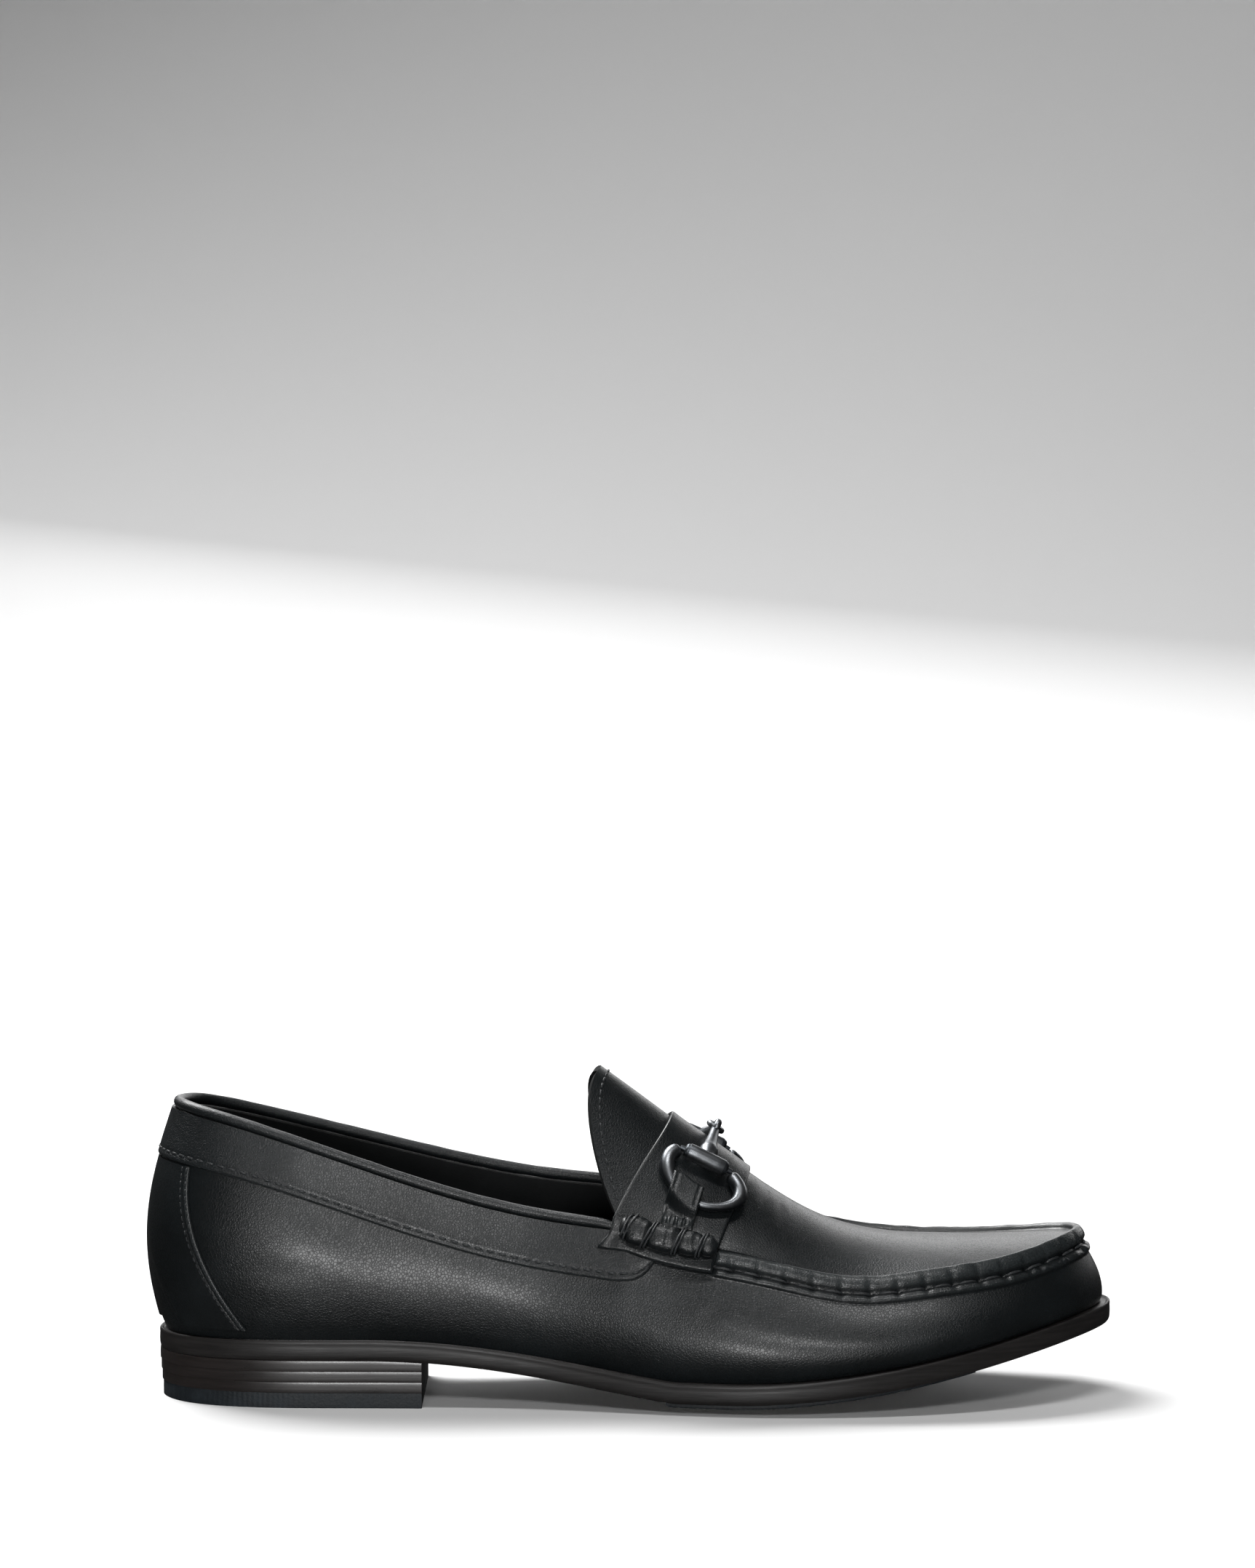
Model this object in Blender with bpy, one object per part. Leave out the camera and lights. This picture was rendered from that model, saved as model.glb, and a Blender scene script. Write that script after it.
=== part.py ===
"""A bit loafer, right shoe, built as its maker would put it together.

+X runs to the toe, +Y to the inner side of the foot and +Z up. The shapes are first worked out with
the back of the heel at x = 0 and the floor at z = 0. At the end the whole shoe is moved so that the
origin lies under the middle of its box.
"""

import math
from collections import namedtuple

import bmesh
import bpy
import numpy as np

MM = 0.001

# Sole and heel
SOLE_LENGTH = 300 * MM
BALL_WIDTH = 107 * MM
OUTSOLE_THICKNESS = 6.3 * MM
HEEL_RISE = 14.9 * MM
TOE_SPRING = 22.0 * MM
TREAD_THICKNESS = 1.1 * MM
EDGE_RISE = 2.3 * MM
TREAD_INSET = 7.0 * MM
HEEL_LENGTH = 83.5 * MM
HEEL_TAPER = 1.3 * MM
TOP_LIFT_THICKNESS = 4.8 * MM
LIFT_COUNT = 3

# Upper
INSTEP_HEIGHT = 104 * MM
COLLAR_BACK_HEIGHT = 90.3 * MM
LEATHER_WALL = 2.2 * MM
WELT = 2.5 * MM
BELLY = 7.6 * MM
APRON_INSET = 13.5 * MM
THROAT_PLACE = 147.5 * MM
TONGUE_REACH = 8.5 * MM
TONGUE_CURL = 6.2 * MM
APRON_END = 21 * MM
RIDGE_HEIGHT = 1.9 * MM
RIDGE_WIDTH = 6.2 * MM

# Overlays and trim
GAP = 0.3 * MM
BAND_HEIGHT = 14.5 * MM
BAND_THICKNESS = 1.1 * MM
COUNTER_THICKNESS = 0.9 * MM
PIPING_DIAMETER = 3.6 * MM
STRAP_THICKNESS = 1.4 * MM
STRAP_DROP = 5.8 * MM
STRAP_TOP_REAR = 13 * MM
STRAP_TOP_WIDTH = 24.7 * MM
STRAP_SIDE_REAR = -5.4 * MM
STRAP_SIDE_WIDTH = 32.6 * MM
STRAP_END_REAR = -8.7 * MM
STRAP_END_WIDTH = 35.2 * MM
ROLL_HEIGHT = 8.0 * MM
ROLL_DEPTH = 4.8 * MM
ROLL_WRAPS = 4
ROLL_START = 0.09
INSOLE_THICKNESS = 2.6 * MM

# Bit
RING_LENGTH = 22.4 * MM
RING_REACH = 11.7 * MM
RING_WIRE = 3.3 * MM
BIT_PLACE = 169.7 * MM
LINK_AHEAD = 2.2 * MM
BARREL_LENGTH = 13.0 * MM
BARREL_DIAMETER = 5.2 * MM
LOOP_DIAMETER = 7.4 * MM
LOOP_WIRE = 1.9 * MM
KEEPER_WIDTH = 10.0 * MM
KEEPER_THICKNESS = 1.2 * MM
KEEPER_PLACE = -4.7 * MM
KEEPER_LEAN = 0.30
KEEPER_OVER = 4.6 * MM
KEEPER_SEAM_GAP = 2.6 * MM
KEEPER_ROWS = 11

# Where the forefoot and the waist begin, and how long the waist's slope is, as shares of the sole
WAIST_END = 0.54
WAIST_RUN = 0.32
TOE_START = 0.60
TOE_CURVE = 1.75
TOE_LEVEL = 0.2
FLAT_SHARE = 0.35

# Where the band and the bead end, as shares of the way to the throat, how long the band's rounded
# corner is, how high up the wall the counter starts, and where its two front edges lie round the heel
BAND_END = 1.06
BEAD_END = 0.95
BAND_CORNER = 0.08
COUNTER_FOOT = 0.045
COUNTER_REACH = 0.076
COUNTER_SLANT = 0.060

OUTER, INNER = -1, 1

# The sole's outline from the heel's back, along the outer side to the toe and back along the inner
# side: along is a share of the sole's length, across a share of the ball's width.
OutlinePoint = namedtuple("OutlinePoint", "along across")
OUTLINE = (
    OutlinePoint(0.000, 0.000),
    OutlinePoint(0.028, -0.197),
    OutlinePoint(0.105, -0.300),
    OutlinePoint(0.200, -0.318),
    OutlinePoint(0.300, -0.325),
    OutlinePoint(0.400, -0.350),
    OutlinePoint(0.500, -0.415),
    OutlinePoint(0.600, -0.475),
    OutlinePoint(0.690, -0.490),
    OutlinePoint(0.780, -0.462),
    OutlinePoint(0.860, -0.388),
    OutlinePoint(0.930, -0.262),
    OutlinePoint(0.981, -0.095),
    OutlinePoint(1.000, 0.080),
    OutlinePoint(0.986, 0.220),
    OutlinePoint(0.938, 0.336),
    OutlinePoint(0.855, 0.415),
    OutlinePoint(0.760, 0.458),
    OutlinePoint(0.680, 0.465),
    OutlinePoint(0.600, 0.430),
    OutlinePoint(0.500, 0.352),
    OutlinePoint(0.400, 0.297),
    OutlinePoint(0.300, 0.283),
    OutlinePoint(0.200, 0.294),
    OutlinePoint(0.105, 0.285),
    OutlinePoint(0.028, 0.190),
)

# The upper's wall: way is the share of the way round from the heel's back to the toe. For each side,
# foot is how far its foot stands in from the sole's edge, in welts, top how far its top line stands
# in, in apron insets, and belly how far it swells, in bellies.
WallRow = namedtuple("WallRow", "way foot_out top_out belly_out foot_in top_in belly_in peak")
WALL = (
    WallRow(0.000, 0.60, 0.40, 0.86, 0.60, 0.40, 0.86, 0.47),
    WallRow(0.130, 0.40, 0.52, 0.72, 0.40, 0.52, 0.70, 0.46),
    WallRow(0.270, 0.40, 0.36, 0.58, 0.40, 0.14, 0.52, 0.42),
    WallRow(0.400, 0.60, 0.38, 0.56, 0.40, -0.08, 0.55, 0.40),
    WallRow(0.485, 0.80, 0.58, 0.72, 0.50, 0.20, 0.76, 0.40),
    WallRow(0.570, 0.80, 0.90, 0.90, 0.65, 0.74, 0.90, 0.40),
    WallRow(0.700, 0.70, 1.00, 0.93, 0.75, 1.02, 0.93, 0.38),
    WallRow(0.800, 0.72, 0.96, 0.84, 0.78, 0.96, 0.84, 0.38),
    WallRow(0.900, 0.95, 0.88, 0.50, 0.95, 0.86, 0.56, 0.40),
    WallRow(1.000, 1.12, 0.80, 0.32, 1.12, 0.80, 0.32, 0.42),
)

# The collar's height between the throat, 0, and its height at the back, 1.
CollarRow = namedtuple("CollarRow", "way outer inner")
COLLAR = (
    CollarRow(0.000, 1.000, 1.000),
    CollarRow(0.060, 0.975, 0.965),
    CollarRow(0.130, 0.860, 0.825),
    CollarRow(0.270, 0.440, 0.425),
    CollarRow(0.400, 0.105, 0.100),
    CollarRow(0.485, 0.000, 0.000),
)

# The vamp: along is a share of the sole's length; the spine's height and the falls to its sides are
# shares of the instep's height, its middle and half width shares of the ball's width, and roof says
# how much the section is a rounded roof, and not a flat bow.
VampRow = namedtuple("VampRow", "along spine fall_out fall_in middle half roof")
VAMP = (
    VampRow(0.440, 1.040, 0.470, 0.425, 0.000, 0.330, 0.40),
    VampRow(0.490, 0.936, 0.400, 0.384, 0.000, 0.336, 0.50),
    VampRow(0.540, 0.830, 0.327, 0.290, 0.000, 0.343, 0.60),
    VampRow(0.590, 0.727, 0.252, 0.190, 0.000, 0.350, 0.55),
    VampRow(0.660, 0.587, 0.163, 0.096, 0.000, 0.360, 0.35),
    VampRow(0.733, 0.492, 0.100, 0.045, 0.010, 0.360, 0.10),
    VampRow(0.813, 0.464, 0.067, 0.037, 0.020, 0.358, 0.00),
    VampRow(0.890, 0.462, 0.060, 0.029, 0.035, 0.345, 0.00),
    VampRow(1.000, 0.492, 0.043, 0.020, 0.050, 0.310, 0.00),
)
ROOF_CREST = 0.30

# The moccasin ridge: reach is the distance from the seam line in ridge widths, down the wall first and
# then over the apron, and rise the height over the leather in ridge heights.
RidgeRow = namedtuple("RidgeRow", "reach rise")
RIDGE_ON_WALL = (
    RidgeRow(1.00, 0.00),
    RidgeRow(0.93, 0.42),
    RidgeRow(0.55, 0.12),
    RidgeRow(0.40, 0.70),
    RidgeRow(0.12, 1.00),
)
RIDGE_ON_APRON = (
    RidgeRow(0.16, 0.55),
    RidgeRow(0.30, 0.00),
)
RIDGE_START = 0.088
RIDGE_FADE = 0.025

WALL_ROWS = (0.0, 0.10, 0.24, 0.40, 0.56, 0.70)
VAMP_ROWS = (0.14, 0.28, 0.42, 0.56, 0.70, 0.85, 1.0)
COLLAR_STATIONS = 15
VAMP_STATIONS = 19

# The outsole's edge, from its top face down: out is how far it stands out from the outline, in edge
# rounds, and level the share of the thickness.
EdgeRow = namedtuple("EdgeRow", "out level")
WELTED_EDGE = (
    EdgeRow(-1.6, 1.00),
    EdgeRow(-0.9, 0.90),
    EdgeRow(-0.3, 1.00),
    EdgeRow(0.0, 0.80),
    EdgeRow(0.0, 0.25),
    EdgeRow(-0.6, 0.00),
)
PLAIN_EDGE = (EdgeRow(0.0, 1.0), EdgeRow(0.0, 0.0))
EDGE_ROUND = 1.0 * MM
CROSS = (-1.0, -0.68, -0.34, 0.34, 0.68, 1.0)
PAD_CROSS = (-1.0, -0.8, -0.6, -0.39, 0.39, 0.6, 0.8, 1.0)
HEEL_CROSS = (-1.0, -0.3, 0.3, 1.0)
PAD_START = 0.525
PAD_END = 0.86

# Colour, roughness and metallic of each material
BLACK_LEATHER = ((0.012, 0.016, 0.018), 0.35, 0.0)
BAND_LEATHER = ((0.016, 0.019, 0.021), 0.42, 0.0)
SOLE_LEATHER = ((0.022, 0.020, 0.020), 0.45, 0.0)
STACK_LEATHER = ((0.033, 0.022, 0.019), 0.42, 0.0)
TREAD_RUBBER = ((0.016, 0.022, 0.028), 0.55, 0.0)
BIT_METAL = ((0.16, 0.17, 0.19), 0.38, 1.0)
LINING = ((0.015, 0.015, 0.016), 0.7, 0.0)


def spline(knots, values):
    """A smooth curve through a table's rows, with free ends."""
    x = np.asarray(knots, float)
    y = np.asarray(values, float)
    count = len(x)
    step = np.diff(x)
    slope = np.diff(y) / step
    matrix = np.eye(count)
    right = np.zeros(count)
    for i in range(1, count - 1):
        matrix[i, i - 1:i + 2] = step[i - 1], 2 * (step[i - 1] + step[i]), step[i]
        right[i] = 6 * (slope[i] - slope[i - 1])
    bend = np.linalg.solve(matrix, right)

    def at(place):
        i = np.clip(np.searchsorted(x, place) - 1, 0, count - 2)
        a = (x[i + 1] - place) / step[i]
        b = 1 - a
        curve = (a ** 3 - a) * bend[i] + (b ** 3 - b) * bend[i + 1]
        return a * y[i] + b * y[i + 1] + curve * step[i] ** 2 / 6
    return at


def ring_spline(knots, values, period):
    """A smooth closed curve: the table is carried past both its ends."""
    x = np.asarray(knots, float)
    y = np.asarray(values, float)
    wide = spline(np.concatenate((x - period, x, x + period)), np.concatenate((y, y, y)))
    return lambda place: wide(place % period)


def clamp(value, low=0.0, high=1.0):
    return max(low, min(high, value))


def smooth(value):
    value = clamp(value)
    return value * value * (3 - 2 * value)


def unit(vector):
    return vector / np.linalg.norm(vector)


class Plan:
    """The sole's outline seen from above, walked by side and by share of the way to the toe."""

    SAMPLES = 1200

    def __init__(self):
        points = np.array([(row.along * SOLE_LENGTH, row.across * BALL_WIDTH) for row in OUTLINE])
        loop = np.vstack((points, points[:1]))
        chords = np.concatenate(([0], np.cumsum(np.linalg.norm(np.diff(loop, axis=0), axis=1))))
        ring_x = ring_spline(chords[:-1], points[:, 0], chords[-1])
        ring_y = ring_spline(chords[:-1], points[:, 1], chords[-1])
        walk = np.linspace(0, chords[-1], self.SAMPLES + 1)
        fine = np.array([(ring_x(s), ring_y(s)) for s in walk])
        arc = np.concatenate(([0], np.cumsum(np.linalg.norm(np.diff(fine, axis=0), axis=1))))
        self.length = arc[-1]
        self.toe = np.interp(chords[np.argmax(points[:, 0])], walk, arc)
        self.x = spline(arc, fine[:, 0])
        self.y = spline(arc, fine[:, 1])

    def arc(self, side, way):
        if side == OUTER:
            return way * self.toe
        return self.length - way * (self.length - self.toe)

    def at(self, side, way, inset=0.0):
        """The outline's point, moved in from the edge, and its outward direction."""
        s = self.arc(side, way)
        h = self.length / self.SAMPLES
        ahead, behind = (s + h) % self.length, (s - h) % self.length
        run = unit(np.array((self.x(ahead) - self.x(behind), self.y(ahead) - self.y(behind))))
        out = np.array((run[1], -run[0]))
        return np.array((self.x(s), self.y(s))) - out * inset, out

    def way_at(self, side, x, inset=0.0):
        """The share of the way at which a side passes a place along the sole."""
        low, high = 0.0, 1.0
        for _ in range(40):
            middle = (low + high) / 2
            if self.at(side, middle, inset)[0][0] < x:
                low = middle
            else:
                high = middle
        return (low + high) / 2


PLAN = Plan()


def heel_share(x):
    """How much of the heel's rise the sole has at x."""
    ramp = clamp((WAIST_END - x / SOLE_LENGTH) / WAIST_RUN)
    return math.sin(math.pi / 2 * ramp ** 1.15)


def toe_share(x):
    ramp = clamp((x / SOLE_LENGTH - TOE_START) / (1 - TOE_START), 0.0, 1.2)
    return (1 + TOE_LEVEL) * ramp ** TOE_CURVE - TOE_LEVEL * ramp ** (4 * TOE_CURVE)


def edge_floor(x):
    """The height of the outsole's lower edge."""
    base = TREAD_THICKNESS + GAP + EDGE_RISE
    return base + (HEEL_RISE - base) * heel_share(x) + (TOE_SPRING - base) * toe_share(x)


def under_sole(x, cross):
    """The height of the outsole's underside; cross runs from -1 to 1 between its edges."""
    cup = EDGE_RISE * (1 - heel_share(x)) * (1 - clamp(toe_share(x))) ** 2
    bow = clamp((abs(cross) - FLAT_SHARE) / (1 - FLAT_SHARE)) ** 2
    return edge_floor(x) - cup * (1 - bow)


def over_sole(x, cross):
    """The height of the outsole's upper face, level across the shoe."""
    return edge_floor(x) + OUTSOLE_THICKNESS


def wall_tables():
    """Each column of the wall's table as one smooth closed curve round the shoe."""
    knots = [row.way for row in WALL] + [2 - row.way for row in WALL[-2:0:-1]]
    tables = {}
    for name in ("foot", "top", "belly", "peak"):
        outer = "peak" if name == "peak" else name + "_out"
        inner = "peak" if name == "peak" else name + "_in"
        values = [getattr(row, outer) for row in WALL] + [getattr(row, inner) for row in WALL[-2:0:-1]]
        tables[name] = ring_spline(knots, values, 2.0)
    return tables


WALL_TABLE = wall_tables()
COLLAR_TABLE = {
    OUTER: spline([row.way for row in COLLAR], [row.outer for row in COLLAR]),
    INNER: spline([row.way for row in COLLAR], [row.inner for row in COLLAR]),
}
VAMP_TABLE = {name: spline([row.along for row in VAMP], [getattr(row, name) for row in VAMP])
              for name in VampRow._fields[1:]}


def wall_value(name, side, way):
    return float(WALL_TABLE[name](way if side == OUTER else 2 - way))


def bow_of(t, roof):
    """How far a section has fallen at t half widths from its crest."""
    peak = math.hypot(t, ROOF_CREST) - ROOF_CREST
    full = math.hypot(1, ROOF_CREST) - ROOF_CREST
    return (1 - roof) * t * t + roof * peak / full


def vamp_height(x, y):
    """The height of the vamp's leather over a place in the plan."""
    along = x / SOLE_LENGTH
    row = {name: float(table(along)) for name, table in VAMP_TABLE.items()}
    t = (y / BALL_WIDTH - row["middle"]) / row["half"]
    fall = row["fall_in"] if t > 0 else row["fall_out"]
    return INSTEP_HEIGHT * (row["spine"] - fall * bow_of(abs(t), clamp(row["roof"])))


def vamp_at(x, y):
    """A point of the vamp and its outward direction."""
    h = 0.5 * MM
    rise_x = (vamp_height(x + h, y) - vamp_height(x - h, y)) / (2 * h)
    rise_y = (vamp_height(x, y + h) - vamp_height(x, y - h)) / (2 * h)
    return np.array((x, y, vamp_height(x, y))), unit(np.array((-rise_x, -rise_y, 1.0)))


def top_plan(side, way):
    return PLAN.at(side, way, APRON_INSET * wall_value("top", side, way))[0]


def throat_way(side):
    """The share of the way at which the top line passes the throat."""
    low, high = 0.3, 0.7
    for _ in range(40):
        middle = (low + high) / 2
        if top_plan(side, middle)[0] < THROAT_PLACE:
            low = middle
        else:
            high = middle
    return (low + high) / 2


THROAT = {side: throat_way(side) for side in (OUTER, INNER)}
THROAT_HEIGHT = {side: vamp_height(*top_plan(side, THROAT[side])) for side in (OUTER, INNER)}


def top_height(side, way):
    """The height of the top line: the collar behind the throat, the apron's seam before it."""
    if way >= THROAT[side]:
        return vamp_height(*top_plan(side, way))
    share = float(COLLAR_TABLE[side](way * COLLAR[-1].way / THROAT[side]))
    return THROAT_HEIGHT[side] + share * (COLLAR_BACK_HEIGHT - THROAT_HEIGHT[side])


def wall_point(side, way, up):
    """A point of the upper's wall; up runs from its foot, 0, to the top line, 1."""
    foot_in = WELT * wall_value("foot", side, way)
    top_in = APRON_INSET * wall_value("top", side, way)
    peak = clamp(wall_value("peak", side, way), 0.2, 0.6)
    bulge = math.sin(math.pi * clamp(up) ** (math.log(0.5) / math.log(peak)))
    inset = foot_in + (top_in - foot_in) * up - BELLY * wall_value("belly", side, way) * bulge
    plan, _ = PLAN.at(side, way, inset)
    foot = over_sole(PLAN.at(side, way, foot_in)[0][0], 0.0) + GAP
    return np.array((plan[0], plan[1], foot + (top_height(side, way) - foot) * up))


def around(side, way):
    """Keeps the way inside 0 to 1 by crossing over to the other side."""
    if way < 0:
        return -side, -way
    if way > 1:
        return -side, 2 - way
    return side, way


def wall_at(side, way, up):
    """A point of the wall and its outward direction."""
    h = 0.002
    before = wall_point(*around(side, way - h), up)
    after = wall_point(*around(side, way + h), up)
    low = wall_point(side, way, max(0.0, up - 0.02))
    high = wall_point(side, way, min(1.0, up + 0.02))
    out = np.cross(after - before, high - low) * -side
    return wall_point(side, way, up), unit(out)


def wall_height(side, way):
    return float(wall_point(side, way, 1.0)[2] - wall_point(side, way, 0.0)[2])


def seam_middle(share):
    """Half way between the two seams, at a share of the way from the throat to the toe."""
    return sum(top_plan(side, THROAT[side] + share * (1 - THROAT[side]))[0] for side in (OUTER, INNER)) / 2


def spine_middle(x):
    """How far the vamp's crest stands to the inner side at x."""
    return float(VAMP_TABLE["middle"](x / SOLE_LENGTH)) * BALL_WIDTH


def spine_place(side, way):
    """Where the rib that starts at the seam meets the spine."""
    share = clamp((way - THROAT[side]) / (1 - THROAT[side]))
    start, here, end = (seam_middle(s) for s in (0.0, share, 1.0))
    tongue_tip, apron_tip = start - TONGUE_REACH, end - APRON_END
    x = tongue_tip + (apron_tip - tongue_tip) * (here - start) / (end - start)
    return np.array((x, spine_middle(x))), share


def rib_plan(side, way, over):
    """A rib's place in the plan; over runs from the seam, 0, to the spine, 1."""
    start = top_plan(side, way)
    end, share = spine_place(side, way)
    eased = over + clamp(1 - share / 0.4) * (math.sin(math.pi / 2 * over) - over)
    bell = math.sin(math.pi * clamp(over) ** 0.72) ** (1 + 0.8 * over ** 3) if over < 1 else 0.0
    curl = TONGUE_CURL * clamp(1 - share / 0.25) ** 2 * bell
    return np.array((start[0] + (end[0] - start[0]) * eased - curl, start[1] + (end[1] - start[1]) * over))


def new_object(name, color, roughness, metallic, points, faces):
    """One closed body from points and faces, welded where its ends run together."""
    mesh = bpy.data.meshes.new(name)
    shape = bmesh.new()
    verts = [shape.verts.new(point) for point in points]
    for face in faces:
        shape.faces.new([verts[i] for i in face])
    bmesh.ops.remove_doubles(shape, verts=shape.verts, dist=0.00002)
    bmesh.ops.dissolve_degenerate(shape, edges=shape.edges, dist=0.00001)
    bmesh.ops.triangulate(shape, faces=shape.faces)
    bmesh.ops.recalc_face_normals(shape, faces=shape.faces)
    shape.to_mesh(mesh)
    shape.free()
    mesh.shade_smooth()
    mesh.set_sharp_from_angle(angle=math.radians(35))
    material = bpy.data.materials.new(name)
    material.use_nodes = True
    shader = material.node_tree.nodes["Principled BSDF"]
    shader.inputs["Base Color"].default_value = (*color, 1.0)
    shader.inputs["Roughness"].default_value = roughness
    shader.inputs["Metallic"].default_value = metallic
    mesh.materials.append(material)
    made = bpy.data.objects.new(name, mesh)
    bpy.context.scene.collection.objects.link(made)
    return made


ROUND_DIGITS = 7


def loft(rings, closed=False):
    """Faces between equal rings of points; the ends are capped unless the loft closes on itself."""
    size = len(rings[0])
    points = [point for ring in rings for point in ring]
    faces = []
    spans = len(rings) if closed else len(rings) - 1
    for i in range(spans):
        a = i * size
        b = (i + 1) % len(rings) * size
        for j in range(size):
            k = (j + 1) % size
            faces.append((a + j, a + k, b + k, b + j))
    if not closed:
        for first in (0, (len(rings) - 1) * size):
            fan = [first + j for j in range(size)]
            corners = {tuple(np.round(points[i], ROUND_DIGITS)) for i in fan}
            if len(corners) > size // 2 + 1:
                faces.append(fan)
    return points, faces


def skin(grid, low, high):
    """A closed sheet over a grid of (point, direction, extra lift)."""
    rows, columns = len(grid), len(grid[0])
    points = []
    for height in (low, high):
        for row in grid:
            for point, out, lift in row:
                points.append(point + out * (height + lift))
    layer = rows * columns
    faces = []
    for i in range(rows - 1):
        for j in range(columns - 1):
            a = i * columns + j
            quad = (a, a + 1, a + columns + 1, a + columns)
            faces.append(quad)
            faces.append(tuple(layer + k for k in reversed(quad)))
    rim = list(range(columns))
    rim += [i * columns + columns - 1 for i in range(1, rows)]
    rim += [(rows - 1) * columns + j for j in range(columns - 2, -1, -1)]
    rim += [i * columns for i in range(rows - 2, 0, -1)]
    for i, a in enumerate(rim):
        b = rim[(i + 1) % len(rim)]
        faces.append((a, b, layer + b, layer + a))
    return points, faces


def tube(path, radii, sides, frame_out):
    """Rings of an oval tube: radii and frame_out give, for each point, its half sizes and direction."""
    rings = []
    for i, point in enumerate(path):
        run = unit(path[min(i + 1, len(path) - 1)] - path[max(i - 1, 0)])
        out = unit(frame_out[i] - run * np.dot(frame_out[i], run))
        flank = np.cross(run, out)
        deep, wide = radii[i]
        turn = [2 * math.pi * k / sides for k in range(sides)]
        rings.append([point + out * deep * math.cos(a) + flank * wide * math.sin(a) for a in turn])
    return rings


def sole_ways(start, end, count):
    """Pairs of ways, outer and inner, from one place along the sole to another."""
    pairs = []
    for i in range(count + 1):
        share = i / count
        pair = []
        for side in (OUTER, INNER):
            first = 0.0 if start is None else PLAN.way_at(side, start)
            last = 1.0 if end is None else PLAN.way_at(side, end)
            pair.append(first + (last - first) * share)
        pairs.append(pair)
    return pairs


def slab(pairs, inset, edge, low, high, edge_size=0.0, crosses=CROSS):
    """Rings of a layer of the sole between two heights, with its own edge profile."""
    rings = []
    for outer_way, inner_way in pairs:
        ring = []
        for side, way, rows in ((OUTER, outer_way, edge), (INNER, inner_way, edge[::-1])):
            for row in rows:
                place = PLAN.at(side, way, inset - row.out * edge_size)[0]
                bottom, top = low(place[0], side), high(place[0], side)
                ring.append(np.array((*place, bottom + (top - bottom) * row.level)))
            if side == OUTER:
                far = PLAN.at(INNER, inner_way, inset + -edge[-1].out * edge_size)[0]
                near = ring[-1][:2]
                for cross in crosses[1:-1]:
                    place = near + (far - near) * (cross + 1) / 2
                    ring.append(np.array((*place, low(place[0], cross))))
        far = ring[0][:2]
        near = ring[-1][:2]
        for cross in reversed(crosses[1:-1]):
            place = far + (near - far) * (cross + 1) / 2
            ring.append(np.array((*place, high(place[0], cross))))
        rings.append(ring)
    return rings


def add_outsole():
    pairs = sole_ways(None, None, 36)
    rings = slab(pairs, 0.0, WELTED_EDGE, under_sole, over_sole, EDGE_ROUND)
    new_object("outsole", *SOLE_LEATHER, *loft(rings))


def add_forepart_pad():
    start, end = PAD_START * SOLE_LENGTH, PAD_END * SOLE_LENGTH

    def bottom(x, cross):
        return max(0.0, top(x, cross) - TREAD_THICKNESS)

    def top(x, cross):
        return under_sole(x, cross * (1 - 2 * TREAD_INSET / BALL_WIDTH)) - GAP

    rings = slab(sole_ways(start, end, 12), TREAD_INSET, PLAIN_EDGE, bottom, top, crosses=PAD_CROSS)
    new_object("forepart_pad", *TREAD_RUBBER, *loft(rings))


def add_heel():
    """The heel's layers, from the floor up, each a little wider than the one below."""
    stack = HEEL_RISE - TOP_LIFT_THICKNESS
    heights = [0.0, TOP_LIFT_THICKNESS]
    heights += [TOP_LIFT_THICKNESS + stack * (i + 1) / LIFT_COUNT for i in range(LIFT_COUNT)]
    pairs = sole_ways(None, HEEL_LENGTH, 14)
    for i in range(LIFT_COUNT + 1):
        floor, roof = heights[i], heights[i + 1]
        inset = HEEL_TAPER * (1 - (floor + roof) / 2 / HEEL_RISE)
        last = i == LIFT_COUNT

        def low(x, cross, floor=floor):
            return floor + (GAP if floor else 0.0)

        def high(x, cross, roof=roof, last=last):
            return min(roof, under_sole(x, cross)) - GAP if last else roof

        rings = slab(pairs, inset, PLAIN_EDGE, low, high, crosses=HEEL_CROSS)
        name = "top_lift" if i == 0 else "heel_lift_%d" % i
        new_object(name, *(TREAD_RUBBER if i == 0 else STACK_LEATHER), *loft(rings))


def add_insole():
    inset = WELT + LEATHER_WALL + 2 * GAP

    def low(x, cross):
        return over_sole(x, cross) + GAP

    def high(x, cross):
        return low(x, cross) + INSOLE_THICKNESS

    rings = slab(sole_ways(None, None, 26), inset, PLAIN_EDGE, low, high, crosses=(-1.0, 1.0))
    new_object("insole", *LINING, *loft(rings))


def station_list():
    """The upper's stations in order round the shoe, from the heel's back by the outer side."""
    ways = {}
    for side in (OUTER, INNER):
        throat = THROAT[side]
        behind = [throat * i / COLLAR_STATIONS for i in range(COLLAR_STATIONS)]
        before = [throat + (1 - throat) * i / VAMP_STATIONS for i in range(VAMP_STATIONS + 1)]
        ways[side] = behind + before
    outer = [(OUTER, way) for way in ways[OUTER]]
    inner = [(INNER, way) for way in ways[INNER][1:-1]]
    return outer + inner[::-1]


def ridge_strength(side, way):
    """The ridge runs only before the strap, and fades in under it."""
    start = THROAT[side] + RIDGE_START
    return smooth((way - start) / RIDGE_FADE)


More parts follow.
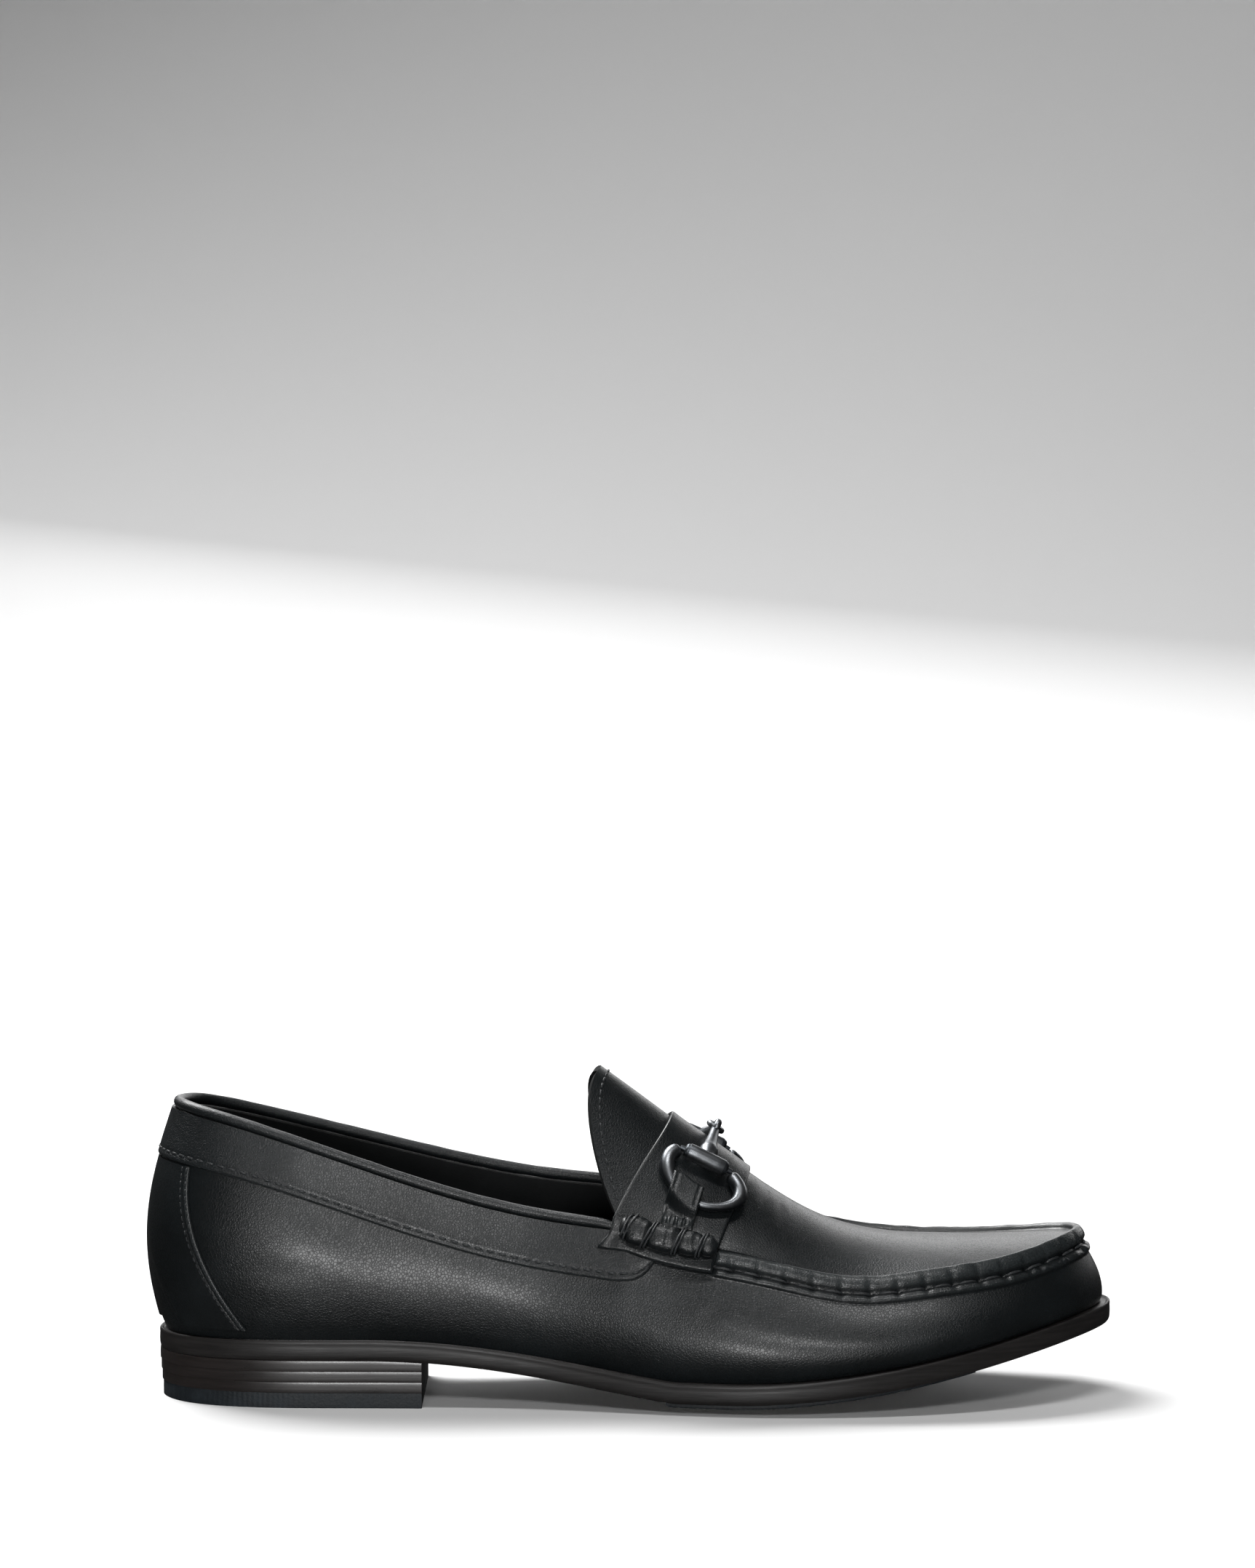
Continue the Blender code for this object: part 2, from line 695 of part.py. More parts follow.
def rib_points(side, way, wall):
    """One rib of the upper, from its foot to the top line and on to the spine."""
    tall = wall_height(side, way)
    strength = ridge_strength(side, way)
    rib = []
    for up in WALL_ROWS:
        point, out = wall_at(side, way, up)
        rib.append(point - out * wall)
    for row in RIDGE_ON_WALL:
        point, out = wall_at(side, way, 1 - row.reach * RIDGE_WIDTH / tall)
        rib.append(point + out * (-wall if wall else strength * row.rise * RIDGE_HEIGHT))
    point, out = wall_at(side, way, 1.0)
    if way < THROAT[side] - 1e-9:
        rib.append(point - out * wall)
        return rib
    over, over_out = vamp_at(*top_plan(side, way))
    lean = unit(out + over_out)
    rib.append(over + lean * (-wall if wall else strength * 0.85 * RIDGE_HEIGHT))
    reach = np.linalg.norm(spine_place(side, way)[0] - top_plan(side, way))
    for row in RIDGE_ON_APRON:
        point, out = vamp_at(*rib_plan(side, way, row.reach * RIDGE_WIDTH / reach))
        rib.append(point + out * (-wall if wall else strength * row.rise * RIDGE_HEIGHT))
    for over in VAMP_ROWS:
        point, out = vamp_at(*rib_plan(side, way, over))
        rib.append(point - out * wall)
    return rib


def add_upper():
    """The hollow upper: an outer and an inner skin, joined at foot, collar and tongue edge."""
    stations = station_list()
    count = len(stations)
    throat, toe = COLLAR_STATIONS, COLLAR_STATIONS + VAMP_STATIONS
    low_rows = len(WALL_ROWS) + len(RIDGE_ON_WALL) + 1
    points = []
    index = {}
    for layer, wall in enumerate((0.0, LEATHER_WALL)):
        for j, (side, way) in enumerate(stations):
            for k, point in enumerate(rib_points(side, way, wall)):
                on_spine = k == low_rows + len(RIDGE_ON_APRON) + len(VAMP_ROWS) - 1
                twin = (layer, count - j, k)
                if on_spine and j > toe and twin in index:
                    index[layer, j, k] = index[twin]
                    continue
                index[layer, j, k] = len(points)
                points.append(point)
    top = low_rows + len(RIDGE_ON_APRON) + len(VAMP_ROWS)

    def rib_size(j):
        return top if throat <= j <= count - throat else low_rows

    faces = []

    def quad(a, b, c, d):
        face = list(dict.fromkeys((index[a], index[b], index[c], index[d])))
        if len(face) > 2:
            faces.append(face)

    for j in range(count):
        n = (j + 1) % count
        rows = min(rib_size(j), rib_size(n))
        for k in range(rows - 1):
            quad((0, j, k), (0, n, k), (0, n, k + 1), (0, j, k + 1))
            quad((1, j, k), (1, j, k + 1), (1, n, k + 1), (1, n, k))
        quad((0, j, 0), (1, j, 0), (1, n, 0), (0, n, 0))
        if rows == low_rows:
            k = low_rows - 1
            quad((0, j, k), (0, n, k), (1, n, k), (1, j, k))
    for j in (throat, count - throat):
        for k in range(low_rows - 1, top - 1):
            quad((0, j, k), (0, j, k + 1), (1, j, k + 1), (1, j, k))
    new_object("upper", *BLACK_LEATHER, points, faces)


def collar_walk(last, count, extra=()):
    """Sides and ways round the collar, from the outer throat by the back to the inner one; extra holds
    more shares of the way back, for a shaped end."""
    shares = sorted([i / count for i in range(count + 1)] + list(extra))
    outer = [(OUTER, last * THROAT[OUTER] * (1 - share)) for share in shares[:-1]]
    inner = [(INNER, last * THROAT[INNER] * (1 - share)) for share in reversed(shares)]
    return outer + inner


def band_depth(side, way):
    """How far the band reaches down, with a rounded front corner."""
    left = clamp((BAND_END * THROAT[side] - way) / (BAND_CORNER * THROAT[side]))
    return BAND_HEIGHT * max(0.25, math.sqrt(1 - (1 - left) ** 2))


def add_collar_band():
    grid = []
    for side, way in collar_walk(BAND_END, 24, [BAND_CORNER * k for k in (0.08, 0.3)]):
        tall = wall_height(side, way)
        depth = band_depth(side, way)
        column = []
        for share in (0.0, 0.35, 0.7, 1.0):
            point, out = wall_at(side, way, 1 - depth * share / tall)
            column.append((point, out, 0.0))
        grid.append(column)
    new_object("collar_band", *BAND_LEATHER, *skin(grid, GAP, GAP + BAND_THICKNESS))


def add_counter():
    """The overlay round the heel, with its leaning front edges."""
    grid = []
    for i in range(17):
        share = i / 8 - 1
        side = OUTER if share < 0 else INNER
        column = []
        for k in range(6):
            level = k / 5
            way = abs(share) * (COUNTER_REACH + COUNTER_SLANT * (1 - level) ** 1.7)
            top = 1 - (BAND_HEIGHT + 2 * GAP) / wall_height(side, way)
            point, out = wall_at(side, way, COUNTER_FOOT + (top - COUNTER_FOOT) * level)
            column.append((point, out, 0.0))
        grid.append(column)
    new_object("counter", *BLACK_LEATHER, *skin(grid, GAP, GAP + COUNTER_THICKNESS))


def add_topline_piping():
    radius = PIPING_DIAMETER / 2
    shift = (BAND_THICKNESS + GAP - LEATHER_WALL) / 2
    path, outs = [], []
    for side, way in collar_walk(BEAD_END, 22):
        point, out = wall_at(side, way, 1.0)
        rise = unit(point - wall_point(side, way, 0.96))
        path.append(point + rise * (radius + GAP) + out * shift)
        outs.append(out)
    rings = tube(path, [(radius, radius)] * len(path), 6, outs)
    new_object("topline_piping", *BAND_LEATHER, *loft(rings))


def strap_way(side, place):
    """The way at which the top line passes a place ahead of the throat."""
    low, high = THROAT[side] - 0.1, THROAT[side] + 0.2
    for _ in range(30):
        middle = (low + high) / 2
        if top_plan(side, middle)[0] < THROAT_PLACE + place:
            low = middle
        else:
            high = middle
    return (low + high) / 2


def strap_point(side, across, over):
    """A point of the leather under the strap: across from its rear edge, 0, to its front edge, 1;
    over from its sewn end, -1, to the top line, 0, and the spine, 1."""
    if over < 0:
        down = smooth(-over)
        place = STRAP_SIDE_REAR + (STRAP_END_REAR - STRAP_SIDE_REAR) * down
        place += across * (STRAP_SIDE_WIDTH + (STRAP_END_WIDTH - STRAP_SIDE_WIDTH) * down)
        way = strap_way(side, place)
        return wall_at(side, way, 1 + over * STRAP_DROP / wall_height(side, way))
    start_way = strap_way(side, STRAP_SIDE_REAR + across * STRAP_SIDE_WIDTH)
    start = top_plan(side, start_way)
    end_x = THROAT_PLACE + STRAP_TOP_REAR + across * STRAP_TOP_WIDTH
    end = np.array((end_x, spine_middle(end_x)))
    eased = math.sin(math.pi / 2 * over)
    point, out = vamp_at(start[0] + (end[0] - start[0]) * eased, start[1] + (end[1] - start[1]) * over)
    if over == 0:
        out = unit(out + wall_at(side, start_way, 1.0)[1])
    return point, out


def strap_lift(over):
    """The strap's ends lie over the collar band, its middle on the vamp."""
    return (BAND_THICKNESS + GAP) * smooth(1 - over / 0.25)


def add_saddle_strap():
    overs = (-1.0, -0.66, -0.33, 0.0, 0.14, 0.28, 0.42, 0.56, 0.70, 0.85)
    grid = []
    for side, rows in ((OUTER, overs), (None, (1.0,)), (INNER, overs[::-1])):
        for over in rows:
            column = []
            for i in range(7):
                point, out = strap_point(side or OUTER, i / 6, over)
                column.append((point, out, strap_lift(over)))
            grid.append(column)
    new_object("saddle_strap", *BLACK_LEATHER, *skin(grid, GAP, GAP + STRAP_THICKNESS))


def over_strap(over):
    """The height of the strap's outer face over the leather."""
    return GAP + STRAP_THICKNESS + strap_lift(over)


def add_seam_roll(side, name):
    """The wrapped roll on the strap's end, pinched where the cord goes round it."""
    path, radii, outs = [], [], []
    steps = 4 * (ROLL_WRAPS + 1)
    for i in range(steps + 1):
        share = i / steps
        point, out = strap_point(side, ROLL_START + (1 - ROLL_START) * share, 0.0)
        swell = abs(math.sin(math.pi * share * (ROLL_WRAPS + 1))) ** 0.5
        end = math.sqrt(max(0.0, 1 - (2 * share - 1) ** 8))
        size = (0.80 + 0.20 * swell) * max(0.30, end)
        deep = ROLL_DEPTH / 2 * size
        path.append(point + out * (over_strap(0.0) + 2 * GAP + ROLL_DEPTH / 2))
        radii.append((deep, ROLL_HEIGHT / 2 * size))
        outs.append(out)
    new_object(name, *BLACK_LEATHER, *loft(tube(path, radii, 8, outs)))


def seam_out(side, x):
    """How far the seam line stands out from the vamp's crest at x."""
    return abs(top_plan(side, strap_way(side, x - THROAT_PLACE))[1] - spine_middle(x))


def ring_line():
    """How far out from the spine the rings' outer line lies, just clear of the seam rolls."""
    nearest = min(seam_out(side, BIT_PLACE) for side in (OUTER, INNER))
    return nearest - ROLL_HEIGHT / 2 - RING_WIRE / 2


def barrel_line():
    return ring_line() - RING_REACH


def bit_at(side, along, out_from_spine, lift):
    """A point over the strap, placed in the plan: along the shoe and out from the spine."""
    x = BIT_PLACE + along
    point, out = vamp_at(x, spine_middle(x) + side * out_from_spine)
    over = 1 - out_from_spine / seam_out(side, x)
    return point + out * (over_strap(over) + lift), out


def ring_place(share):
    """The ring's line in the plan, an oval open at the barrel, from its rear end to its front end."""
    gap_angle = math.acos((BARREL_LENGTH / 2 + GAP + RING_WIRE / 4) / (RING_LENGTH / 2))
    half_reach = RING_REACH / (1 + math.sin(gap_angle))
    angle = -gap_angle + (math.pi + 2 * gap_angle) * share
    along = -math.cos(angle) * RING_LENGTH / 2
    return along, ring_line() + half_reach * (math.sin(angle) - 1)


def add_bit_ring(side, name):
    clear = RING_WIRE / 2 + 2 * GAP
    path, outs = [], []
    for i in range(25):
        along, out_from_spine = ring_place(i / 24)
        point, out = bit_at(side, along, out_from_spine, clear)
        path.append(point)
        outs.append(out)
    radius = RING_WIRE / 2
    new_object(name, *BIT_METAL, *loft(tube(path, [(radius, radius)] * len(path), 6, outs)))


def turned(start, end, profile, sides):
    """Rings of a turned piece between two points; profile gives (share of the way, radius)."""
    run = unit(end - start)
    out = unit(np.cross(run, np.array((0.0, 0.0, 1.0)) if abs(run[2]) < 0.9 else np.array((1.0, 0.0, 0.0))))
    flank = np.cross(run, out)
    rings = []
    for share, radius in profile:
        centre = start + (end - start) * share
        turn = [2 * math.pi * k / sides for k in range(sides)]
        rings.append([centre + (out * math.cos(a) + flank * math.sin(a)) * radius for a in turn])
    return rings


def torus(centre, axis, radius, wire, steps=14, sides=6):
    across = unit(np.cross(axis, np.array((0.3, 0.9, 0.2))))
    other = np.cross(axis, across)
    rings = []
    for i in range(steps):
        a = 2 * math.pi * i / steps
        way = across * math.cos(a) + other * math.sin(a)
        turn = [2 * math.pi * k / sides for k in range(sides)]
        rings.append([centre + way * (radius + wire * math.cos(b)) + axis * wire * math.sin(b)
                      for b in turn])
    return rings


def join(target, others):
    """Fuses the pieces of one casting into one solid."""
    for other in others:
        fuse = target.modifiers.new("fuse", "BOOLEAN")
        fuse.operation = "UNION"
        fuse.solver = "EXACT"
        fuse.object = other
        other.hide_render = True
        other.display_type = "WIRE"


def add_bit_bar(side, name):
    """Barrel, tapered bar and end loop, cast in one; the two bars' loops are linked."""
    clear = BARREL_DIAMETER / 2 + 2 * GAP
    rear, out = bit_at(side, -BARREL_LENGTH / 2, barrel_line(), clear)
    front, _ = bit_at(side, BARREL_LENGTH / 2, barrel_line(), clear)
    belly = 0.5 * MM
    rear, front = rear + out * belly, front + out * belly
    radius = BARREL_DIAMETER / 2
    barrel = ((0.0, radius * 0.7), (0.06, radius * 0.92), (0.5, radius), (0.94, radius * 0.92),
              (1.0, radius * 0.7))
    body = new_object(name, *BIT_METAL, *loft(turned(rear, front, barrel, 10)))
    loop_radius = (LOOP_DIAMETER - LOOP_WIRE) / 2
    crest, crest_out = bit_at(side, LINK_AHEAD, 0.0, LOOP_DIAMETER / 2)
    run = unit(np.array((front - rear)))
    along = unit(run * np.array((1.0, 0.0, 1.0)))
    centre = crest + np.array((0.0, side * loop_radius / 2, 0.0))
    axis = crest_out if side == OUTER else along
    start = (rear + front) / 2
    end = centre + unit(start - centre) * loop_radius
    bar_profile = ((0.0, radius * 0.9), (0.25, radius * 0.8), (1.0, LOOP_WIRE / 2 * 1.05))
    bar = new_object(name + "_shank", *BIT_METAL, *loft(turned(start, end, bar_profile, 8)))
    eye = new_object(name + "_eye", *BIT_METAL,
                     *loft(torus(centre, unit(axis), loop_radius, LOOP_WIRE / 2), closed=True))
    join(body, (bar, eye))


def add_keeper(side, name):
    """The sewn tab: flat on the strap at its end, and arched over the ring."""
    first = seam_out(side, BIT_PLACE + KEEPER_PLACE) - KEEPER_SEAM_GAP
    last = ring_line() - KEEPER_OVER
    ring = [ring_place(i / 40) for i in range(41)]
    grid = []
    for i in range(KEEPER_ROWS + 1):
        out_from_spine = first + (last - first) * i / KEEPER_ROWS
        column = []
        for k in range(4):
            along = KEEPER_PLACE + KEEPER_WIDTH * (k / 3 - 0.5) - KEEPER_LEAN * (out_from_spine - last)
            point, out = bit_at(side, along, out_from_spine, 0.0)
            away = min(math.hypot(x - along, y - out_from_spine) for x, y in ring) / RING_WIRE
            arch = (RING_WIRE + 3 * GAP) * smooth((1.5 - away) / 0.7)
            column.append((point, out, arch))
        grid.append(column)
    new_object(name, *BLACK_LEATHER, *skin(grid, 2 * GAP, 2 * GAP + KEEPER_THICKNESS))


def set_origin():
    """Moves the shoe so that the origin lies under the middle of its box."""
    bpy.context.view_layer.update()
    corners = []
    for thing in bpy.context.scene.objects:
        if not thing.hide_render:
            corners += [thing.matrix_world @ vertex.co for vertex in thing.data.vertices]
    low = [min(corner[i] for corner in corners) for i in range(3)]
    high = [max(corner[i] for corner in corners) for i in range(3)]
    for thing in bpy.context.scene.objects:
        thing.location = (-(low[0] + high[0]) / 2, -(low[1] + high[1]) / 2, -low[2])


def main():
    for thing in list(bpy.data.objects):
        bpy.data.objects.remove(thing, do_unlink=True)
    add_outsole()
    add_forepart_pad()
    add_heel()
    add_insole()
    add_upper()
    add_collar_band()
    add_counter()
    add_topline_piping()
    add_saddle_strap()
    for side, word in ((OUTER, "lateral"), (INNER, "medial")):
        add_seam_roll(side, "seam_roll_" + word)
        add_bit_ring(side, "bit_ring_" + word)
        add_bit_bar(side, "bit_bar_" + word)
        add_keeper(side, "keeper_" + word)
    set_origin()


main()
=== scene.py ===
"""Bit loafer, right shoe: the finish of every surface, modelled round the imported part.

Each leather piece is made again, finer, from the same short tables as the part's source, so it lies
where its solid lies. +X runs to the toe, +Y to the inner side of the foot and +Z up. Shapes are worked
out with the back of the heel at x = 0 and then moved to where the frame holds the shoe. A lap says how
far round the shoe a place is: 0 at the heel's back, 1 at the toe by the outer side, 2 back at the heel.
"""

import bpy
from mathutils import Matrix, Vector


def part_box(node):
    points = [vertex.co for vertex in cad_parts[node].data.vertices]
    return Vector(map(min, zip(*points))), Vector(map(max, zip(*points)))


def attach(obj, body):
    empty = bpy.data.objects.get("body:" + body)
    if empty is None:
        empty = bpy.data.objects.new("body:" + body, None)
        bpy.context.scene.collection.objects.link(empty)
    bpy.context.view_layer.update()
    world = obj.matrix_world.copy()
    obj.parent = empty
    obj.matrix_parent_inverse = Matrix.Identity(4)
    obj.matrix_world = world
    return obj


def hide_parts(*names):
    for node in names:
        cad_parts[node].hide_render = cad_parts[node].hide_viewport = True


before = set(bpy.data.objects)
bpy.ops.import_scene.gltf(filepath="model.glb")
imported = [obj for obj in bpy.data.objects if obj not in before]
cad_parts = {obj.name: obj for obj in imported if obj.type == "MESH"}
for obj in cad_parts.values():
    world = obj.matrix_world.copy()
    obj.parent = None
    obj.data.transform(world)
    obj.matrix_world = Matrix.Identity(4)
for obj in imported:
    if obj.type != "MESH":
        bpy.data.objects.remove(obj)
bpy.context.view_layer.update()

import math
from collections import namedtuple

import bmesh
import bpy
import numpy as np
from bpy.props import FloatProperty, FloatVectorProperty, PointerProperty
from mathutils import Vector

bl_info = {
    "name": "Bit loafer finish",
    "version": (1, 0, 0),
    "blender": (4, 5, 0),
    "location": "3D View > Sidebar > Loafer",
    "description": "Builds the leather, stitching, bit and sole of a loafer round its packed solids",
    "category": "Object",
}

MM = 0.001
OUTER, INNER = -1, 1

SOLE_LENGTH = 300 * MM
BALL_WIDTH = 107 * MM
OUTSOLE_THICKNESS = 6.3 * MM
HEEL_RISE = 14.9 * MM
TOE_SPRING = 22.0 * MM
TREAD_THICKNESS = 1.1 * MM
EDGE_RISE = 2.3 * MM
TREAD_INSET = 7.0 * MM
HEEL_LENGTH = 83.5 * MM
HEEL_TAPER = 1.3 * MM
TOP_LIFT_THICKNESS = 4.8 * MM
LIFT_COUNT = 3
INSTEP_HEIGHT = 104 * MM
COLLAR_BACK_HEIGHT = 90.3 * MM
LEATHER_WALL = 2.2 * MM
WELT = 2.5 * MM
BELLY = 7.6 * MM
APRON_INSET = 13.5 * MM
THROAT_PLACE = 147.5 * MM
TONGUE_REACH = 8.5 * MM
TONGUE_CURL = 6.2 * MM
APRON_END = 21 * MM
RIDGE_WIDTH = 6.2 * MM
GAP = 0.3 * MM
BAND_HEIGHT = 14.5 * MM
BAND_THICKNESS = 1.1 * MM
COUNTER_THICKNESS = 0.9 * MM
PIPING_DIAMETER = 3.6 * MM
STRAP_THICKNESS = 1.4 * MM
STRAP_DROP = 5.8 * MM
STRAP_TOP_REAR = 13 * MM
STRAP_TOP_WIDTH = 24.7 * MM
STRAP_SIDE_REAR = -5.4 * MM
STRAP_SIDE_WIDTH = 32.6 * MM
STRAP_END_REAR = -8.7 * MM
STRAP_END_WIDTH = 35.2 * MM
ROLL_HEIGHT = 8.0 * MM
ROLL_DEPTH = 4.8 * MM
INSOLE_THICKNESS = 2.6 * MM
RING_LENGTH = 22.4 * MM
RING_REACH = 11.7 * MM
RING_WIRE = 3.3 * MM
BIT_PLACE = 169.7 * MM
LINK_AHEAD = 2.2 * MM
BARREL_LENGTH = 13.0 * MM
BARREL_DIAMETER = 5.2 * MM
LOOP_DIAMETER = 7.4 * MM
KEEPER_WIDTH = 10.0 * MM
KEEPER_THICKNESS = 1.2 * MM
KEEPER_PLACE = -4.7 * MM
KEEPER_LEAN = 0.30
KEEPER_OVER = 4.6 * MM
KEEPER_SEAM_GAP = 2.6 * MM

WAIST_END = 0.54
WAIST_RUN = 0.32
TOE_START = 0.60
TOE_CURVE = 1.75
TOE_LEVEL = 0.2
FLAT_SHARE = 0.35
BAND_END = 1.06
BEAD_END = 0.985
BAND_CORNER = 0.08
COUNTER_FOOT = 0.045
COUNTER_REACH = 0.076
COUNTER_SLANT = 0.060
RIDGE_START = 0.074
RIDGE_FADE = 0.009
PAD_START = 0.525
PAD_END = 0.86


def table(kind, *rows):
    """A table's rows, each with its columns named."""
    return tuple(kind(*row) for row in rows)


# The sole's outline: along is a share of the sole's length, across a share of the ball's width.
OutlinePoint = namedtuple("OutlinePoint", "along across")
OUTLINE = table(
    OutlinePoint,
    (0.000, 0.000), (0.028, -0.197), (0.105, -0.300), (0.200, -0.318),
    (0.300, -0.325), (0.400, -0.350), (0.500, -0.415), (0.600, -0.475),
    (0.690, -0.490), (0.780, -0.462), (0.860, -0.388), (0.930, -0.262),
    (0.981, -0.095), (1.000, 0.080), (0.986, 0.220), (0.938, 0.336),
    (0.855, 0.415), (0.760, 0.458), (0.680, 0.465), (0.600, 0.430),
    (0.500, 0.352), (0.400, 0.297), (0.300, 0.283), (0.200, 0.294),
    (0.105, 0.285), (0.028, 0.190),
)

# The upper's wall: for each side, how far its foot stands in from the sole's edge, in welts, how far
# its top line stands in, in apron insets, and how far it swells, in bellies.
WallRow = namedtuple("WallRow", "way foot_out top_out belly_out foot_in top_in belly_in peak")
WALL = table(
    WallRow,
    (0.000, 0.60, 0.40, 0.86, 0.60, 0.40, 0.86, 0.47),
    (0.130, 0.40, 0.52, 0.72, 0.40, 0.52, 0.70, 0.46),
    (0.270, 0.40, 0.36, 0.58, 0.40, 0.14, 0.52, 0.42),
    (0.400, 0.60, 0.38, 0.56, 0.40, -0.08, 0.55, 0.40),
    (0.485, 0.80, 0.58, 0.72, 0.50, 0.20, 0.76, 0.40),
    (0.570, 0.80, 0.90, 0.90, 0.65, 0.74, 0.90, 0.40),
    (0.700, 0.70, 1.00, 0.93, 0.75, 1.02, 0.93, 0.38),
    (0.800, 0.72, 0.96, 0.84, 0.78, 0.96, 0.84, 0.38),
    (0.900, 0.95, 0.88, 0.50, 0.95, 0.86, 0.56, 0.40),
    (1.000, 1.12, 0.80, 0.32, 1.12, 0.80, 0.32, 0.42),
)

# The collar's height between the throat, 0, and its height at the back, 1.
CollarRow = namedtuple("CollarRow", "way outer inner")
COLLAR = table(
    CollarRow,
    (0.000, 1.000, 1.000), (0.060, 0.975, 0.965), (0.130, 0.860, 0.825),
    (0.270, 0.440, 0.425), (0.400, 0.105, 0.100), (0.485, 0.000, 0.000),
)

# The vamp: the spine's height and the falls to its sides are shares of the instep's height, its middle
# and half width shares of the ball's width, and roof says how much the section is a rounded roof.
VampRow = namedtuple("VampRow", "along spine fall_out fall_in middle half roof")
VAMP = table(
    VampRow,
    (0.440, 1.040, 0.470, 0.425, 0.000, 0.330, 0.40),
    (0.490, 0.936, 0.400, 0.384, 0.000, 0.336, 0.50),
    (0.540, 0.830, 0.327, 0.290, 0.000, 0.343, 0.60),
    (0.590, 0.727, 0.252, 0.190, 0.000, 0.350, 0.55),
    (0.660, 0.587, 0.163, 0.096, 0.000, 0.360, 0.35),
    (0.733, 0.492, 0.100, 0.045, 0.010, 0.360, 0.10),
    (0.813, 0.464, 0.067, 0.037, 0.020, 0.358, 0.00),
    (0.890, 0.462, 0.060, 0.029, 0.035, 0.345, 0.00),
    (1.000, 0.492, 0.043, 0.020, 0.050, 0.310, 0.00),
)
ROOF_CREST = 0.30

# The moccasin seam's section: reach is the distance from the seam line in ridge widths, down the wall,
# and rise the height in ridge heights: the wall's turned edge, the sewn groove and the roll above it.
RidgeRow = namedtuple("RidgeRow", "reach rise pull")
RIDGE = table(
    RidgeRow,
    (1.10, 0.00, 0.0), (1.03, 0.00, 0.0), (1.00, 0.14, 0.0), (0.97, 0.42, 0.1),
    (0.90, 0.58, 0.2), (0.80, 0.54, 0.4), (0.70, 0.40, 0.8), (0.62, 0.14, 1.0),
    (0.56, -0.08, 1.0), (0.51, -0.04, 1.0), (0.46, 0.42, 0.9), (0.38, 0.80, 0.6),
    (0.27, 0.94, 0.4), (0.16, 1.02, 0.2), (0.06, 1.02, 0.1), (0.00, 0.97, 0.1),
    (-0.08, 0.80, 0.0), (-0.14, 0.55, 0.0), (-0.19, 0.25, 0.0), (-0.24, 0.03, 0.0),
    (-0.32, 0.00, 0.0),
)


def spline(knots, values):
    """A smooth curve through a table's rows, with free ends."""
    x = np.asarray(knots, float)
    y = np.asarray(values, float)
    count = len(x)
    step = np.diff(x)
    slope = np.diff(y) / step
    matrix = np.eye(count)
    right = np.zeros(count)
    for i in range(1, count - 1):
        matrix[i, i - 1:i + 2] = step[i - 1], 2 * (step[i - 1] + step[i]), step[i]
        right[i] = 6 * (slope[i] - slope[i - 1])
    bend = np.linalg.solve(matrix, right)

    def at(place):
        i = np.clip(np.searchsorted(x, place) - 1, 0, count - 2)
        a = (x[i + 1] - place) / step[i]
        b = 1 - a
        curve = (a ** 3 - a) * bend[i] + (b ** 3 - b) * bend[i + 1]
        return a * y[i] + b * y[i + 1] + curve * step[i] ** 2 / 6
    return at


def ring_spline(knots, values, period):
    """A smooth closed curve: the table is carried past both its ends."""
    x = np.asarray(knots, float)
    y = np.asarray(values, float)
    wide = spline(np.concatenate((x - period, x, x + period)), np.concatenate((y, y, y)))
    return lambda place: wide(np.asarray(place) % period)


def clamp(value, low=0.0, high=1.0):
    return np.clip(value, low, high)


def smooth(value):
    value = clamp(value)
    return value * value * (3 - 2 * value)


def rounded(distance, radius):
    """The rise of a rounded edge, from 0 at the edge to 1 at its radius and beyond."""
    return np.sqrt(1 - (1 - clamp(distance / radius)) ** 2)


def hill(place, middle, width):
    """A soft bump of height 1."""
    return np.exp(-((place - middle) / width) ** 2)


def turns(count):
    """Angles evenly spaced round a circle."""
    return np.arange(count) * 2 * np.pi / count


def squarish(turn, power):
    """The two coordinates of a circle that is drawn out towards a square as the power falls."""
    c, s = np.cos(turn), np.sin(turn)
    return np.sign(c) * np.abs(c) ** power, np.sign(s) * np.abs(s) ** power


def unit(vectors):
    return vectors / np.maximum(np.linalg.norm(vectors, axis=-1, keepdims=True), 1e-12)


class Plan:
    """The sole's outline seen from above, walked by lap."""

    SAMPLES = 1200

    def __init__(self):
        points = np.array([(row.along * SOLE_LENGTH, row.across * BALL_WIDTH) for row in OUTLINE])
        loop = np.vstack((points, points[:1]))
        chords = np.concatenate(([0], np.cumsum(np.linalg.norm(np.diff(loop, axis=0), axis=1))))
        ring_x = ring_spline(chords[:-1], points[:, 0], chords[-1])
        ring_y = ring_spline(chords[:-1], points[:, 1], chords[-1])
        walk = np.linspace(0, chords[-1], self.SAMPLES + 1)
        fine = np.stack((ring_x(walk), ring_y(walk)), axis=-1)
        arc = np.concatenate(([0], np.cumsum(np.linalg.norm(np.diff(fine, axis=0), axis=1))))
        self.length = arc[-1]
        self.toe = np.interp(chords[np.argmax(points[:, 0])], walk, arc)
        self.x = spline(arc, fine[:, 0])
        self.y = spline(arc, fine[:, 1])
        self.low_y = fine[:, 1].min()

    def at(self, lap, inset=0.0):
        """The outline's point, moved in from the edge, and its outward direction."""
        s = np.interp(np.asarray(lap) % 2, (0, 1, 2), (0, self.toe, self.length))
        h = self.length / self.SAMPLES
        ahead, behind = (s + h) % self.length, (s - h) % self.length
        run = unit(np.stack((self.x(ahead) - self.x(behind), self.y(ahead) - self.y(behind)), axis=-1))
        out = np.stack((run[..., 1], -run[..., 0]), axis=-1)
        place = np.stack((self.x(s), self.y(s)), axis=-1)
        return place - out * np.asarray(inset)[..., None], out


PLAN = Plan()
HOME = Vector((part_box("outsole")[0][0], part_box("outsole")[0][1] - PLAN.low_y, 0.0))


